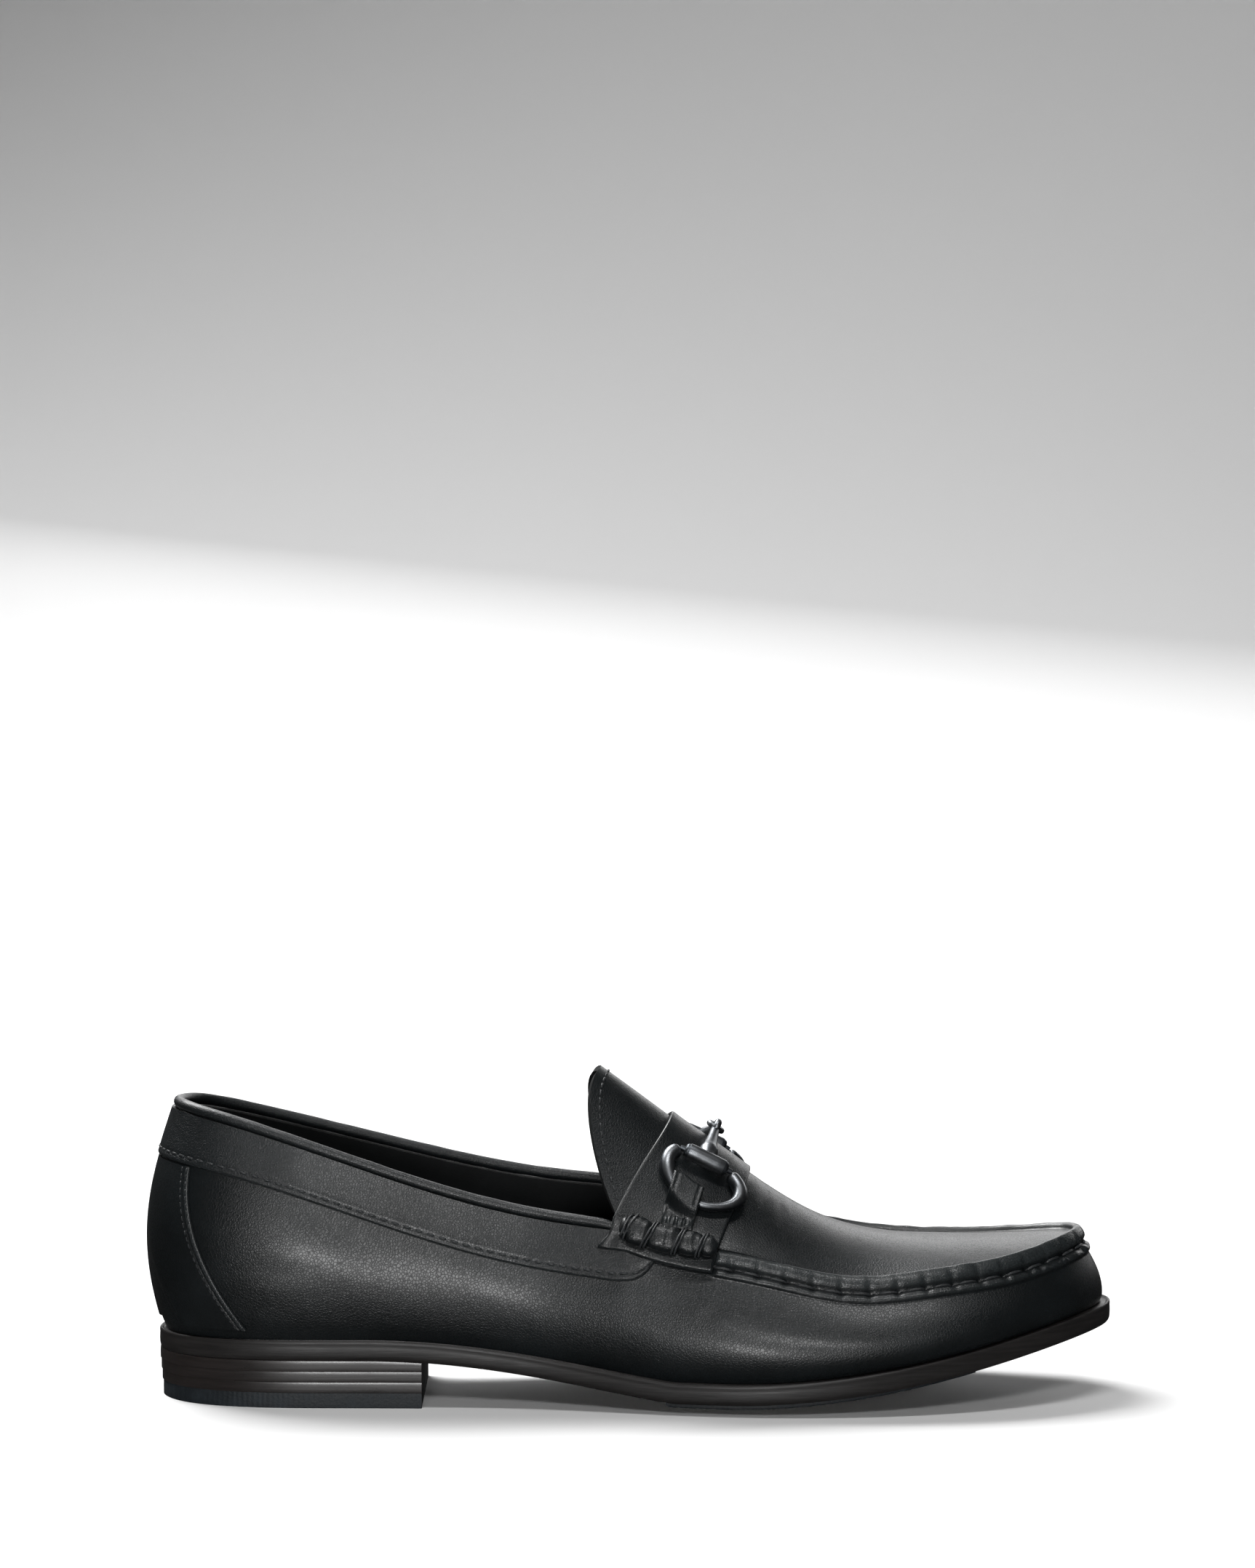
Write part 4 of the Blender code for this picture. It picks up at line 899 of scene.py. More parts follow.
def make_band(sizes, finishes):
    """The strip round the top line, thin at its turned lower edge, with a row of stitches above it."""
    laps = collar_laps(BAND_END, 150)
    depth = band_depth(laps)[:, None]
    inner = np.linspace(EDGE_STEPS[-1], BAND_HEIGHT, 8)[1:]
    distance = np.concatenate((EDGE_STEPS, inner))[None, :] * depth / BAND_HEIGHT
    ups = 1 - (depth - distance) / wall_height(laps)[:, None]
    point, out = wall_at(laps[:, None], ups)
    run = lengths(point[:, 8])[:, None]
    thick = turned_edge(distance, BAND_THICKNESS, STITCH_INSET, 0.14 * MM)
    thick = thick + 0.07 * MM * ripple(run, 23 * MM) * smooth(distance / (3 * MM))
    pinch = hill(distance, STITCH_INSET, 0.9 * MM)
    thick = thick - 0.12 * MM * pinch * stitch_pull(run, sizes.band_pitch)
    wear = clamp(1 - distance / (0.8 * MM)) * 0.8
    body = Body()
    add_sheet(body, point, out, GAP, GAP + thick, wear)
    body.make("collar_band_leather", finishes, "band_calf", ["collar_band"], crease=60.0)
    stitches = Body()
    row = 8
    add_stitches(stitches, point[:, row] + out[:, row] * (GAP + thick[:, row])[:, None], out[:, row],
                 sizes.band_pitch, sizes.band_pitch * 0.70, 0.70 * MM, 0.20 * MM)
    return stitches


BEAD_SIDES = 16


def make_bead(finishes):
    """The rolled bead on the top line."""
    laps = collar_laps(BEAD_END, 170)
    point, out = wall_at(laps, 1.0)
    rise = unit(point - wall_point(laps, 0.96))
    radius = PIPING_DIAMETER / 2
    shift = (BAND_THICKNESS + GAP - LEATHER_WALL) / 2
    path = point + rise * (radius + GAP) + out * shift
    run = lengths(path)
    swell = 1 + 0.03 * ripple(run, 13 * MM, 0.5)
    dive = clamp((way_of(laps) / throat_of(laps) / BEAD_END - 0.95) / 0.05) ** 2
    path = path - rise * (1.3 * MM * dive)[:, None] - out * (0.6 * MM * dive)[:, None]
    rings = tube_rings(path, rise, radius * swell * (1 - 0.35 * dive), radius * swell, BEAD_SIDES)
    body = Body()
    # The bead's crown gets the lighter calf colour: rubbed wear and painted highlight on its top.
    crown = clamp(np.cos(turns(BEAD_SIDES)) * 1.2 - 0.5)
    add_loft(body, rings, wear=np.broadcast_to(crown, rings.shape[:2]))
    body.make("topline_bead", finishes, "band_calf", ["topline_piping"])


# The columns of the counter's grid, counted in from its edges, that carry stitches.
COUNTER_STITCHES = (3, 10)


def counter_lap(share, level):
    """Where round the heel the counter's places lie; share runs from -1 at its outer front edge to 1."""
    reach = COUNTER_REACH + COUNTER_SLANT * (1 - level) ** 1.7
    return -share * reach


def make_counter(sizes, finishes):
    """The overlay round the heel; each front edge is a narrow folded strip between two stitch rows."""
    strip = 1.9 * MM
    edge = np.array((0.0, 0.15, 0.4, 0.75, 1.1, 1.45, 1.7, 1.9, 2.15, 2.5, 3.0, 3.6, 4.4, 6.0)) * MM
    half = np.concatenate((edge, np.linspace(8 * MM, 22 * MM, 8)))
    levels = np.linspace(0, 1, 34)
    body, stitches = Body(), Body()
    grid, laid = [], []
    for side in (-1, 1):
        share_edge = np.full(len(levels), side * 1.0)
        lap_edge = counter_lap(share_edge, levels)
        span = np.linalg.norm(PLAN.at(lap_edge)[0] - PLAN.at(lap_edge * 0)[0], axis=-1)
        shares = side * (1 - half[:, None] / half[-1] * clamp(half[-1] / (span[None, :] * 1.03)) * 0.999)
        grid.append(shares if side < 0 else shares[::-1])
        laid.append(half if side < 0 else half[::-1])
    shares = np.vstack((grid[0], np.zeros((1, len(levels))), grid[1]))
    distance = np.concatenate((laid[0], [30 * MM], laid[1]))[:, None]
    laps = counter_lap(shares, levels[None, :])
    top = 1 - (BAND_HEIGHT + 2 * GAP) / wall_height(laps)
    ups = COUNTER_FOOT + (top - COUNTER_FOOT) * levels[None, :]
    point, out = wall_at(laps, ups)
    fold = clamp(distance / (0.5 * MM)) * np.exp(-((distance / strip) ** 8))
    groove = hill(distance, strip * 1.06, 0.28 * MM)
    thick = COUNTER_THICKNESS * (0.62 + 0.38 * fold) - 0.32 * MM * groove
    thick = thick * (0.35 + 0.65 * rounded(distance, 0.5 * MM))
    add_sheet(body, point, out, GAP, GAP + thick, wear=clamp(fold * 0.7))
    body.make("heel_counter", finishes, "black_calf", ["counter"], crease=60.0)
    for inset in COUNTER_STITCHES:
        for column in (inset, len(shares) - 1 - inset):
            add_stitches(stitches, point[column] + out[column] * (GAP + thick[column])[:, None],
                         out[column], sizes.counter_pitch, sizes.counter_pitch * 0.74, 0.42 * MM, 0.10 * MM)
    return stitches


def strap_grid(overs, across):
    """The strap's places from its outer sewn end over the spine to its inner sewn end."""
    sides = [(OUTER, overs), (INNER, overs[::-1][1:])]
    parts = [strap_at(side, across[None, :], rows[:, None]) for side, rows in sides]
    lift = np.concatenate([strap_lift(rows) for _, rows in sides])
    over = np.concatenate([rows for _, rows in sides])
    point = np.concatenate([part[0] for part in parts])
    out = np.concatenate([part[1] for part in parts])
    return point, out, lift[:, None], over[:, None]


def make_strap(finishes):
    """The strap over the instep, with cut edges, and its gathered ends under the seam rolls."""
    edge = np.array((0.0, 0.006, 0.016, 0.035, 0.06))
    across = np.concatenate((edge, np.linspace(0.09, 0.91, 26), 1 - edge[::-1]))
    overs = np.concatenate((np.linspace(-1, -0.1, 16), np.linspace(0, 0.3, 14), np.linspace(0.32, 1, 34)))
    point, out, lift, over = strap_grid(overs, across)
    place = across[None, :] * STRAP_SIDE_WIDTH
    distance = np.minimum(across, 1 - across)[None, :] * STRAP_SIDE_WIDTH
    thick = STRAP_THICKNESS * (0.72 + 0.28 * rounded(distance, 0.45 * MM))
    flange = smooth(-over / 0.30)
    thick = thick - 0.35 * MM * flange
    gather = flange * (0.16 * MM * np.sin(2 * np.pi * across[None, :] * 15 + 3 * over)
                       + 0.12 * MM * ripple(place + 2 * MM * over, 3.1 * MM, 0.6))
    thick = (thick + gather) * (0.45 + 0.55 * rounded(over + 1, 0.12))
    soft = 0.10 * MM * ripple(place + over * 9 * MM, 12 * MM, 2.2) * smooth(over / 0.3)
    wear = np.maximum(clamp(1 - distance / (0.6 * MM)) * 0.7, clamp(1 - (over + 1) / 0.1) * 0.6)
    body = Body()
    add_sheet(body, point, out, GAP + lift, GAP + lift + thick + soft, wear)
    body.make("instep_strap", finishes, "black_calf", ["saddle_strap"], crease=50.0)


# The seam roll's four padded lengths: the share of the strap's width where each begins, and its bulk.
RollPart = namedtuple("RollPart", "start bulk")
ROLL_PARTS = table(
    RollPart,
    (0.085, 0.90), (0.152, 1.08), (0.362, 1.06),
    (0.638, 1.00), (0.855, 0.94), (1.005, 0.80),
)
ROLL_SPAN = (ROLL_PARTS[0].start, ROLL_PARTS[-1].start)
ROLL_SIDES = 28
ROLL_SQUARENESS = 0.86
CORD_RADIUS = 0.36 * MM
CORD_SLANT = 0.036
CORD_STEPS = 40
CORD_SIDES = 8


def roll_bulk(share):
    """How thick the roll is: full between its cords and drawn in under each."""
    bulk = np.full(share.shape, 0.5)
    for part, following in zip(ROLL_PARTS, ROLL_PARTS[1:]):
        t = (share - part.start) / (following.start - part.start)
        inside = (t >= 0) & (t <= 1)
        swell = np.abs(np.sin(np.pi * clamp(t))) ** 0.34
        bulk = np.where(inside, part.bulk * (0.66 + 0.36 * swell), bulk)
    return bulk


def roll_path(side, share):
    point, out = strap_at(side, share, np.zeros_like(share))
    return point + out * (over_strap(0.0) + GAP + ROLL_DEPTH * 0.42), out


def make_roll(side, finishes):
    """The padded roll on the strap's end, wrapped with doubled cords."""
    share = np.linspace(*ROLL_SPAN, 170)
    path, out = roll_path(side, share)
    bulk = roll_bulk(share)
    middle, half = sum(ROLL_SPAN) / 2, (ROLL_SPAN[1] - ROLL_SPAN[0]) / 2
    end = np.sqrt(clamp(1 - np.abs((share - middle) / half) ** 14))
    taper = 1.12 - 0.20 * clamp(share)
    wide = ROLL_HEIGHT / 2 * bulk * taper * np.maximum(0.25, end)
    deep = ROLL_DEPTH / 2 * bulk * np.maximum(0.25, end)
    rings = tube_rings(path, out, deep, wide, ROLL_SIDES, ROLL_SQUARENESS)
    run = lengths(path)[:, None]
    turn = turns(ROLL_SIDES)[None, :]
    wrinkle = 0.10 * MM * ripple(run + 1.5 * MM * np.cos(turn), 2.9 * MM, 0.3)
    wrinkle = wrinkle + 0.07 * MM * np.sin(3 * turn + run / MM)
    outward = unit(rings - path[:, None])
    body = Body()
    # The tops of the roll's fullest lengths get the lighter calf colour: rubbed wear and painted highlight.
    wear = clamp((bulk[:, None] - 0.92) * 3) * clamp(np.cos(turn) * 0.9 + 0.2) * 0.7
    add_loft(body, rings + outward * wrinkle[..., None], wear=wear)
    body.make_pair("seam_roll_", side, finishes, "black_calf", crease=40.0)
    cords = Body()
    for part in ROLL_PARTS[1:-1]:
        for offset in (-0.50 * MM, 0.50 * MM):
            add_cord(cords, side, part.start + offset / STRAP_SIDE_WIDTH, wide, deep, share)
    return cords


def add_cord(body, side, place, wide, deep, share):
    """One turn of cord round the roll, a little slanted."""
    turn = turns(CORD_STEPS)
    slant = -CORD_SLANT * np.sin(turn)
    at = clamp(place + slant, *ROLL_SPAN)
    path, out = roll_path(side, at)
    run = unit(roll_path(side, at + 0.01)[0] - roll_path(side, at - 0.01)[0])
    flank = np.cross(run, out)
    high = np.interp(at, share, deep) + CORD_RADIUS * 0.9
    broad = np.interp(at, share, wide) + CORD_RADIUS * 0.9
    c, s = squarish(turn, ROLL_SQUARENESS)
    loop = path + out * (high * c)[:, None] + flank * (broad * s)[:, None]
    ahead = unit(np.roll(loop, -1, axis=0) - np.roll(loop, 1, axis=0))
    outward = unit(loop - path)
    side_way = np.cross(ahead, outward)
    ring = turns(CORD_SIDES)
    rings = (loop[:, None] + outward[:, None] * (np.cos(ring) * CORD_RADIUS)[None, :, None]
             + side_way[:, None] * (np.sin(ring) * CORD_RADIUS)[None, :, None])
    add_loft(body, rings, closed=True, wear=0.4)


RING_SIDES = 24


def ring_place(share):
    """The ring's line in the plan, an oval open at the barrel, from its rear end to its front end."""
    gap_angle = math.acos((BARREL_LENGTH / 2 + GAP + RING_WIRE / 4) / (RING_LENGTH / 2))
    half_reach = RING_REACH / (1 + math.sin(gap_angle))
    angle = -gap_angle + (math.pi + 2 * gap_angle) * share
    return -np.cos(angle) * RING_LENGTH / 2, ring_line() + half_reach * (np.sin(angle) - 1)


def make_ring(side, finishes):
    """The bit's open ring, slim at the keeper and swelling to round horns beside the barrel."""
    share = np.linspace(0, 1, 110)
    along_shoe, reach = ring_place(share)
    point, out = bit_at(side, along_shoe, reach, RING_WIRE / 2 + 2 * GAP)
    horn = np.abs(2 * share - 1)
    wire = (2.7 + 2.0 * smooth((horn - 0.18) / 0.5)) * MM
    tip = np.sqrt(clamp(1 - clamp((horn - 0.93) / 0.07) ** 2))
    half = wire / 2 * np.maximum(tip, 0.12)
    rings = tube_rings(point, out, half * 0.94, half, RING_SIDES)
    # The ring's top side gets the lighter metal: rubbed wear and a painted highlight.
    lit = clamp(np.cos(turns(RING_SIDES)))
    body = Body()
    add_loft(body, rings, wear=np.broadcast_to(lit, rings.shape[:2]))
    body.make_pair("bit_ring_", side, finishes, "bit_metal", crease=50.0)


# The bit's barrel from its rear end to its front end: a share of its length and of its radius.
Turning = namedtuple("Turning", "along radius")
BARREL = table(
    Turning,
    (-0.110, 0.16), (-0.100, 0.30), (-0.040, 0.34), (-0.005, 0.36), (0.000, 0.60),
    (0.012, 0.74), (0.035, 0.84), (0.070, 0.87), (0.078, 0.96), (0.105, 1.00),
    (0.300, 1.02), (0.500, 1.03), (0.700, 1.02), (0.895, 1.00), (0.922, 0.96),
    (0.930, 0.87), (0.965, 0.84), (0.988, 0.74), (1.000, 0.60), (1.005, 0.36),
    (1.040, 0.34), (1.100, 0.30), (1.110, 0.16),
)
SHANK = table(
    Turning,
    (0.00, 1.00), (0.17, 1.00), (0.24, 1.14), (0.30, 1.16), (0.36, 1.04),
    (0.42, 0.92), (0.55, 0.80), (0.70, 0.70), (0.85, 0.62), (1.02, 0.56),
)


def turned_rings(start, end, profile, radius, sides=28):
    run = unit(end - start)
    first = unit(np.cross(run, np.array((0.0, 0.0, 1.0))))
    second = np.cross(run, first)
    turn = turns(sides)
    around = first * np.cos(turn)[:, None] + second * np.sin(turn)[:, None]
    return np.array([start + (end - start) * row.along + around * row.radius * radius for row in profile])


def make_bar(side, finishes):
    """One half of the bit: a turned barrel, a tapered shank and the loop that links to its twin."""
    clear = BARREL_DIAMETER / 2 + 2 * GAP
    reach = ring_line() - RING_REACH
    rear, out = bit_at(side, -BARREL_LENGTH / 2, reach, clear)
    front, _ = bit_at(side, BARREL_LENGTH / 2, reach, clear)
    rear, front = rear + out * 0.5 * MM, front + out * 0.5 * MM
    radius = BARREL_DIAMETER / 2
    body = Body()
    worn = [clamp((row.radius - 0.9) * 6) for row in BARREL]
    add_loft(body, turned_rings(rear, front, BARREL, radius), wear=np.array(worn)[:, None])
    loop_radius, wire = (2.0 * MM, 1.05 * MM) if side == OUTER else (2.3 * MM, 0.90 * MM)
    crest, crest_out = bit_at(side, LINK_AHEAD, 0.0, LOOP_DIAMETER / 2)
    centre = crest + np.array((0.0, side * loop_radius * 0.55, 0.0))
    along_shoe = unit(unit(front - rear) * np.array((1.0, 0.0, 1.0)))
    axis = unit(along_shoe if side == OUTER else crest_out)
    start = (rear + front) / 2
    end = centre + unit(start - centre) * loop_radius
    add_loft(body, turned_rings(start, end, SHANK, radius * 0.98), wear=0.6)
    across = unit(np.cross(axis, np.array((0.3, 0.9, 0.2))))
    other = np.cross(axis, across)
    turn, ring = turns(56)[:, None], turns(14)[None, :]
    outward = (across * np.cos(turn) + other * np.sin(turn))[:, None]
    eye = (centre + outward * (loop_radius + wire * np.cos(ring))[..., None]
           + axis * (wire * 1.1 * np.sin(ring))[..., None])
    add_loft(body, eye, closed=True, wear=0.7)
    body.make_pair("bit_bar_", side, finishes, "bit_metal", crease=35.0)


def make_keeper(side, finishes):
    """The tab that holds the ring: flat at its sewn end, arched over the ring and tucked in behind it."""
    first = seam_out(side, BIT_PLACE + KEEPER_PLACE) - KEEPER_SEAM_GAP
    last = ring_line() - KEEPER_OVER
    reach = np.linspace(first, last, 52)[:, None]
    ring = np.stack(ring_place(np.linspace(0, 1, 60)), axis=-1)
    edge = np.array((0.0, 0.02, 0.05, 0.09))
    across = np.concatenate((edge, np.linspace(0.14, 0.86, 16), 1 - edge[::-1]))[None, :]
    along_shoe = KEEPER_PLACE + KEEPER_WIDTH * (across - 0.5) - KEEPER_LEAN * (reach - last)
    here = np.stack(np.broadcast_arrays(along_shoe, reach), axis=-1)
    away = np.linalg.norm(here[:, :, None] - ring, axis=-1).min(axis=-1) / RING_WIRE
    arch = (RING_WIRE + 3 * GAP) * smooth((1.5 - away) / 0.7)
    point, out = bit_at(side, here[..., 0], here[..., 1], 0.0)
    from_side = np.minimum(across, 1 - across) * KEEPER_WIDTH
    from_end = np.minimum(reach.max() - reach, reach - reach.min())
    distance = np.minimum(from_side, from_end)
    thick = KEEPER_THICKNESS * (0.5 + 0.5 * rounded(distance, 0.5 * MM))
    foot = reach.max() - reach
    bar = hill(foot, 1.5 * MM, 1.1 * MM)
    crimp = bar * (0.34 + 0.30 * np.sin(2 * np.pi * across * 8.5 + 0.8 * np.sin(foot / MM))) * MM
    groove = 0.22 * MM * hill(from_side, 1.3 * MM, 0.35 * MM)
    body = Body()
    add_sheet(body, point, out, 2 * GAP + arch, 2 * GAP + arch + thick + crimp - groove,
              wear=clamp(bar + clamp(1 - distance / (0.5 * MM)) * 0.6))
    body.make_pair("keeper_", side, finishes, "black_calf", crease=50.0)


# Edges of the sole's layers from the top face down: out in mm from the layer's line, level a share.
EdgeRow = namedtuple("EdgeRow", "out level")
SOLE_EDGE = table(
    EdgeRow,
    (-4.5, 0.97), (-3.0, 0.97), (-2.3, 0.96), (-1.9, 0.92), (-1.5, 0.90),
    (-1.15, 0.92), (-0.9, 0.97), (-0.6, 1.00), (-0.3, 0.99), (-0.08, 0.95),
    (0.00, 0.88), (0.00, 0.80), (-0.06, 0.72), (0.00, 0.64), (0.02, 0.45),
    (-0.02, 0.28), (-0.10, 0.16), (-0.28, 0.07), (-0.60, 0.00),
)
LAYER_EDGE = table(
    EdgeRow,
    (-0.05, 1.00), (-0.02, 0.99), (0.00, 0.96), (0.01, 0.70), (0.02, 0.50),
    (0.01, 0.30), (0.00, 0.04), (-0.02, 0.01), (-0.05, 0.00),
)


def way_at(side, x):
    """The way at which the sole's outline passes x on one side."""
    places = PLAN.at(lap_of(side, WAYS))[0][:, 0]
    return float(np.interp(x, places, WAYS))


def layer_rings(span, stations, inset, edge, low, high, crosses):
    """Rings of a layer of the sole: its two edges, its underside and its top."""
    ways = []
    for side in (OUTER, INNER):
        first = 0.0 if span[0] is None else way_at(side, span[0])
        last = 1.0 if span[1] is None else way_at(side, span[1])
        ways.append(lap_of(side, first + (last - first) * np.linspace(0, 1, stations)))
    out = np.array([row.out for row in edge]) * MM
    level = np.array([row.level for row in edge])

    def side_rows(lap, outs, levels, cross):
        place = PLAN.at(lap[:, None] + 0 * outs, inset - outs + 0 * lap[:, None])[0]
        bottom, top = low(place[..., 0], cross), high(place[..., 0], cross)
        return np.concatenate((place, (bottom + (top - bottom) * levels)[..., None]), axis=-1)

    outer = side_rows(ways[0], out, level, -1.0)
    inner = side_rows(ways[1], out[::-1], level[::-1], 1.0)

    def middle_rows(near, far, height, way):
        share = ((crosses[1:-1] + 1) / 2)[None, :, None]
        place = near[:, None, :2] + (far[:, None, :2] - near[:, None, :2]) * share
        return np.concatenate((place, height(place[..., 0], way * crosses[None, 1:-1])[..., None]), axis=-1)

    under = middle_rows(outer[:, -1], inner[:, 0], low, 1)
    over = middle_rows(inner[:, -1], outer[:, 0], high, -1)
    return np.concatenate((outer, under, inner, over), axis=1)


SOLE_CROSSES = np.array((-1, -0.93, -0.86, -0.78, -0.68, -0.56, -0.45, -0.34, 0,
                         0.34, 0.45, 0.56, 0.68, 0.78, 0.86, 0.93, 1.0))


def make_outsole(finishes):
    """The leather sole, with the rounded lip of its edge."""

    def top(x, cross):
        return over_sole(x) + 0 * cross

    rings = layer_rings((None, None), 240, 0.0, SOLE_EDGE, under_sole, top, SOLE_CROSSES)
    worn = np.zeros(rings.shape[:2])
    rows = len(SOLE_EDGE)
    crest = clamp(1 - np.abs(np.array([row.level for row in SOLE_EDGE]) - 0.97) * 12)
    worn[:, :rows] = crest
    worn[:, rows + len(SOLE_CROSSES) - 2:][:, :rows] = crest[::-1]
    body = Body()
    add_loft(body, rings, wear=worn, caps=(False, False))
    body.make("leather_sole", finishes, "sole_leather", ["outsole"], crease=35.0)


def make_heel(stack_finishes, rubber_finishes):
    """The heel's leather layers and the rubber top lift, each a little wider than the one below."""
    stack = HEEL_RISE - TOP_LIFT_THICKNESS
    heights = [0.0, TOP_LIFT_THICKNESS]
    heights += [TOP_LIFT_THICKNESS + stack * (i + 1) / LIFT_COUNT for i in range(LIFT_COUNT)]
    crosses = np.linspace(-1, 1, 9)
    for i in range(LIFT_COUNT + 1):
        floor, roof = heights[i], heights[i + 1]
        inset = HEEL_TAPER * (1 - (floor + roof) / 2 / HEEL_RISE)

        def low(x, cross, floor=floor):
            return floor + 0 * (x + cross)

        def high(x, cross, roof=roof):
            return np.minimum(roof, under_sole(x, cross))

        rings = layer_rings((None, HEEL_LENGTH), 110, inset, LAYER_EDGE, low, high, crosses)
        body = Body()
        add_loft(body, rings, caps=(False, True), wear=0.1)
        if i:
            body.make("stack_layer_%d" % i, stack_finishes, "stack_leather", ["heel_lift_%d" % i],
                      crease=35.0)
        else:
            body.make("heel_rubber", rubber_finishes, "tread_rubber", ["top_lift"], crease=35.0)


def make_pad(finishes):
    """The thin rubber tread under the forefoot."""
    crosses = np.concatenate((np.linspace(-1, -0.39, 14), [0.0], np.linspace(0.39, 1, 14)))

    def top(x, cross):
        return under_sole(x, cross * (1 - 2 * TREAD_INSET / BALL_WIDTH)) - GAP

    def bottom(x, cross):
        return np.maximum(0.0, top(x, cross) - TREAD_THICKNESS)

    rings = layer_rings((PAD_START * SOLE_LENGTH, PAD_END * SOLE_LENGTH), 80, TREAD_INSET, LAYER_EDGE,
                        bottom, top, crosses)
    body = Body()
    add_loft(body, rings, wear=0.1)
    body.make("forefoot_tread", finishes, "tread_rubber", ["forepart_pad"], crease=35.0)


def make_sock(finishes):
    """The foot bed inside, slightly dished at the heel."""
    inset = WELT + LEATHER_WALL + 2 * GAP

    def low(x, cross):
        return over_sole(x) + GAP + 0 * cross

    def high(x, cross):
        dish = 0.8 * MM * clamp(1 - x / (90 * MM)) * (1 - np.asarray(cross) ** 2)
        return low(x, cross) + INSOLE_THICKNESS - dish

    rings = layer_rings((None, None), 160, inset, LAYER_EDGE, low, high, np.linspace(-1, 1, 13))
    body = Body()
    add_loft(body, rings, wear=0.1, caps=(False, False))
    body.make("foot_bed", finishes, "lining", ["insole"], crease=35.0)


def make_tongue_stitches(sizes):
    """The stitches along the tongue's edge, a little way in from it."""
    body = Body()
    for side in (OUTER, INNER):
        over = np.linspace(0.10, 1.0, 90)
        way = THROAT[side] + 2.5 * MM / (PLAN.length / 2)
        point, out = vamp_at(rib_plan(lap_of(side, way), over))
        add_stitches(body, point, out, sizes.band_pitch * 0.8, sizes.band_pitch * 0.56, 0.70 * MM, 0.26 * MM)
    return body


def make_moc_thread(sizes):
    """The hand-sewn thread in the groove of the moccasin seam, drawn down at each hole."""
    laps = np.concatenate([lap_of(OUTER, np.linspace(THROAT[OUTER] + RIDGE_START, 1, 400)),
                           lap_of(INNER, np.linspace(1, THROAT[INNER] + RIDGE_START, 400)[1:])])
    point, out = wall_at(laps, 1 - 0.57 * RIDGE_WIDTH / wall_height(laps))
    point = point + out * 0.25 * MM
    body = Body()
    add_stitches(body, point, out, sizes.seam_pitch, sizes.seam_pitch * 0.70, 0.95 * MM, 0.12 * MM)
    return body


class Wire:
    """A socket of a finish, so that what varies over a surface is written as plain sums."""

    def __init__(self, finish, socket):
        self.finish, self.socket = finish, socket

    def math(self, operation, *others):
        inputs = dict(enumerate((self,) + others))
        node = self.finish.node("ShaderNodeMath", {"operation": operation}, inputs)
        return Wire(self.finish, node.outputs[0])

    def __add__(self, other):
        return self.math("ADD", other)

    def __sub__(self, other):
        return self.math("SUBTRACT", other)

    def __rsub__(self, other):
        return self.finish.number_first("SUBTRACT", other, self)

    def __mul__(self, other):
        return self.math("MULTIPLY", other)

    def __truediv__(self, other):
        return self.math("DIVIDE", other)

    def __rtruediv__(self, other):
        return self.finish.number_first("DIVIDE", other, self)

    __radd__, __rmul__ = __add__, __mul__

    def steps(self, low, high):
        """0 below low, 1 above high and smooth between them."""
        node = self.finish.node("ShaderNodeMapRange", {"interpolation_type": "SMOOTHSTEP"},
                                {"Value": self, "From Min": low, "From Max": high})
        return Wire(self.finish, node.outputs["Result"])


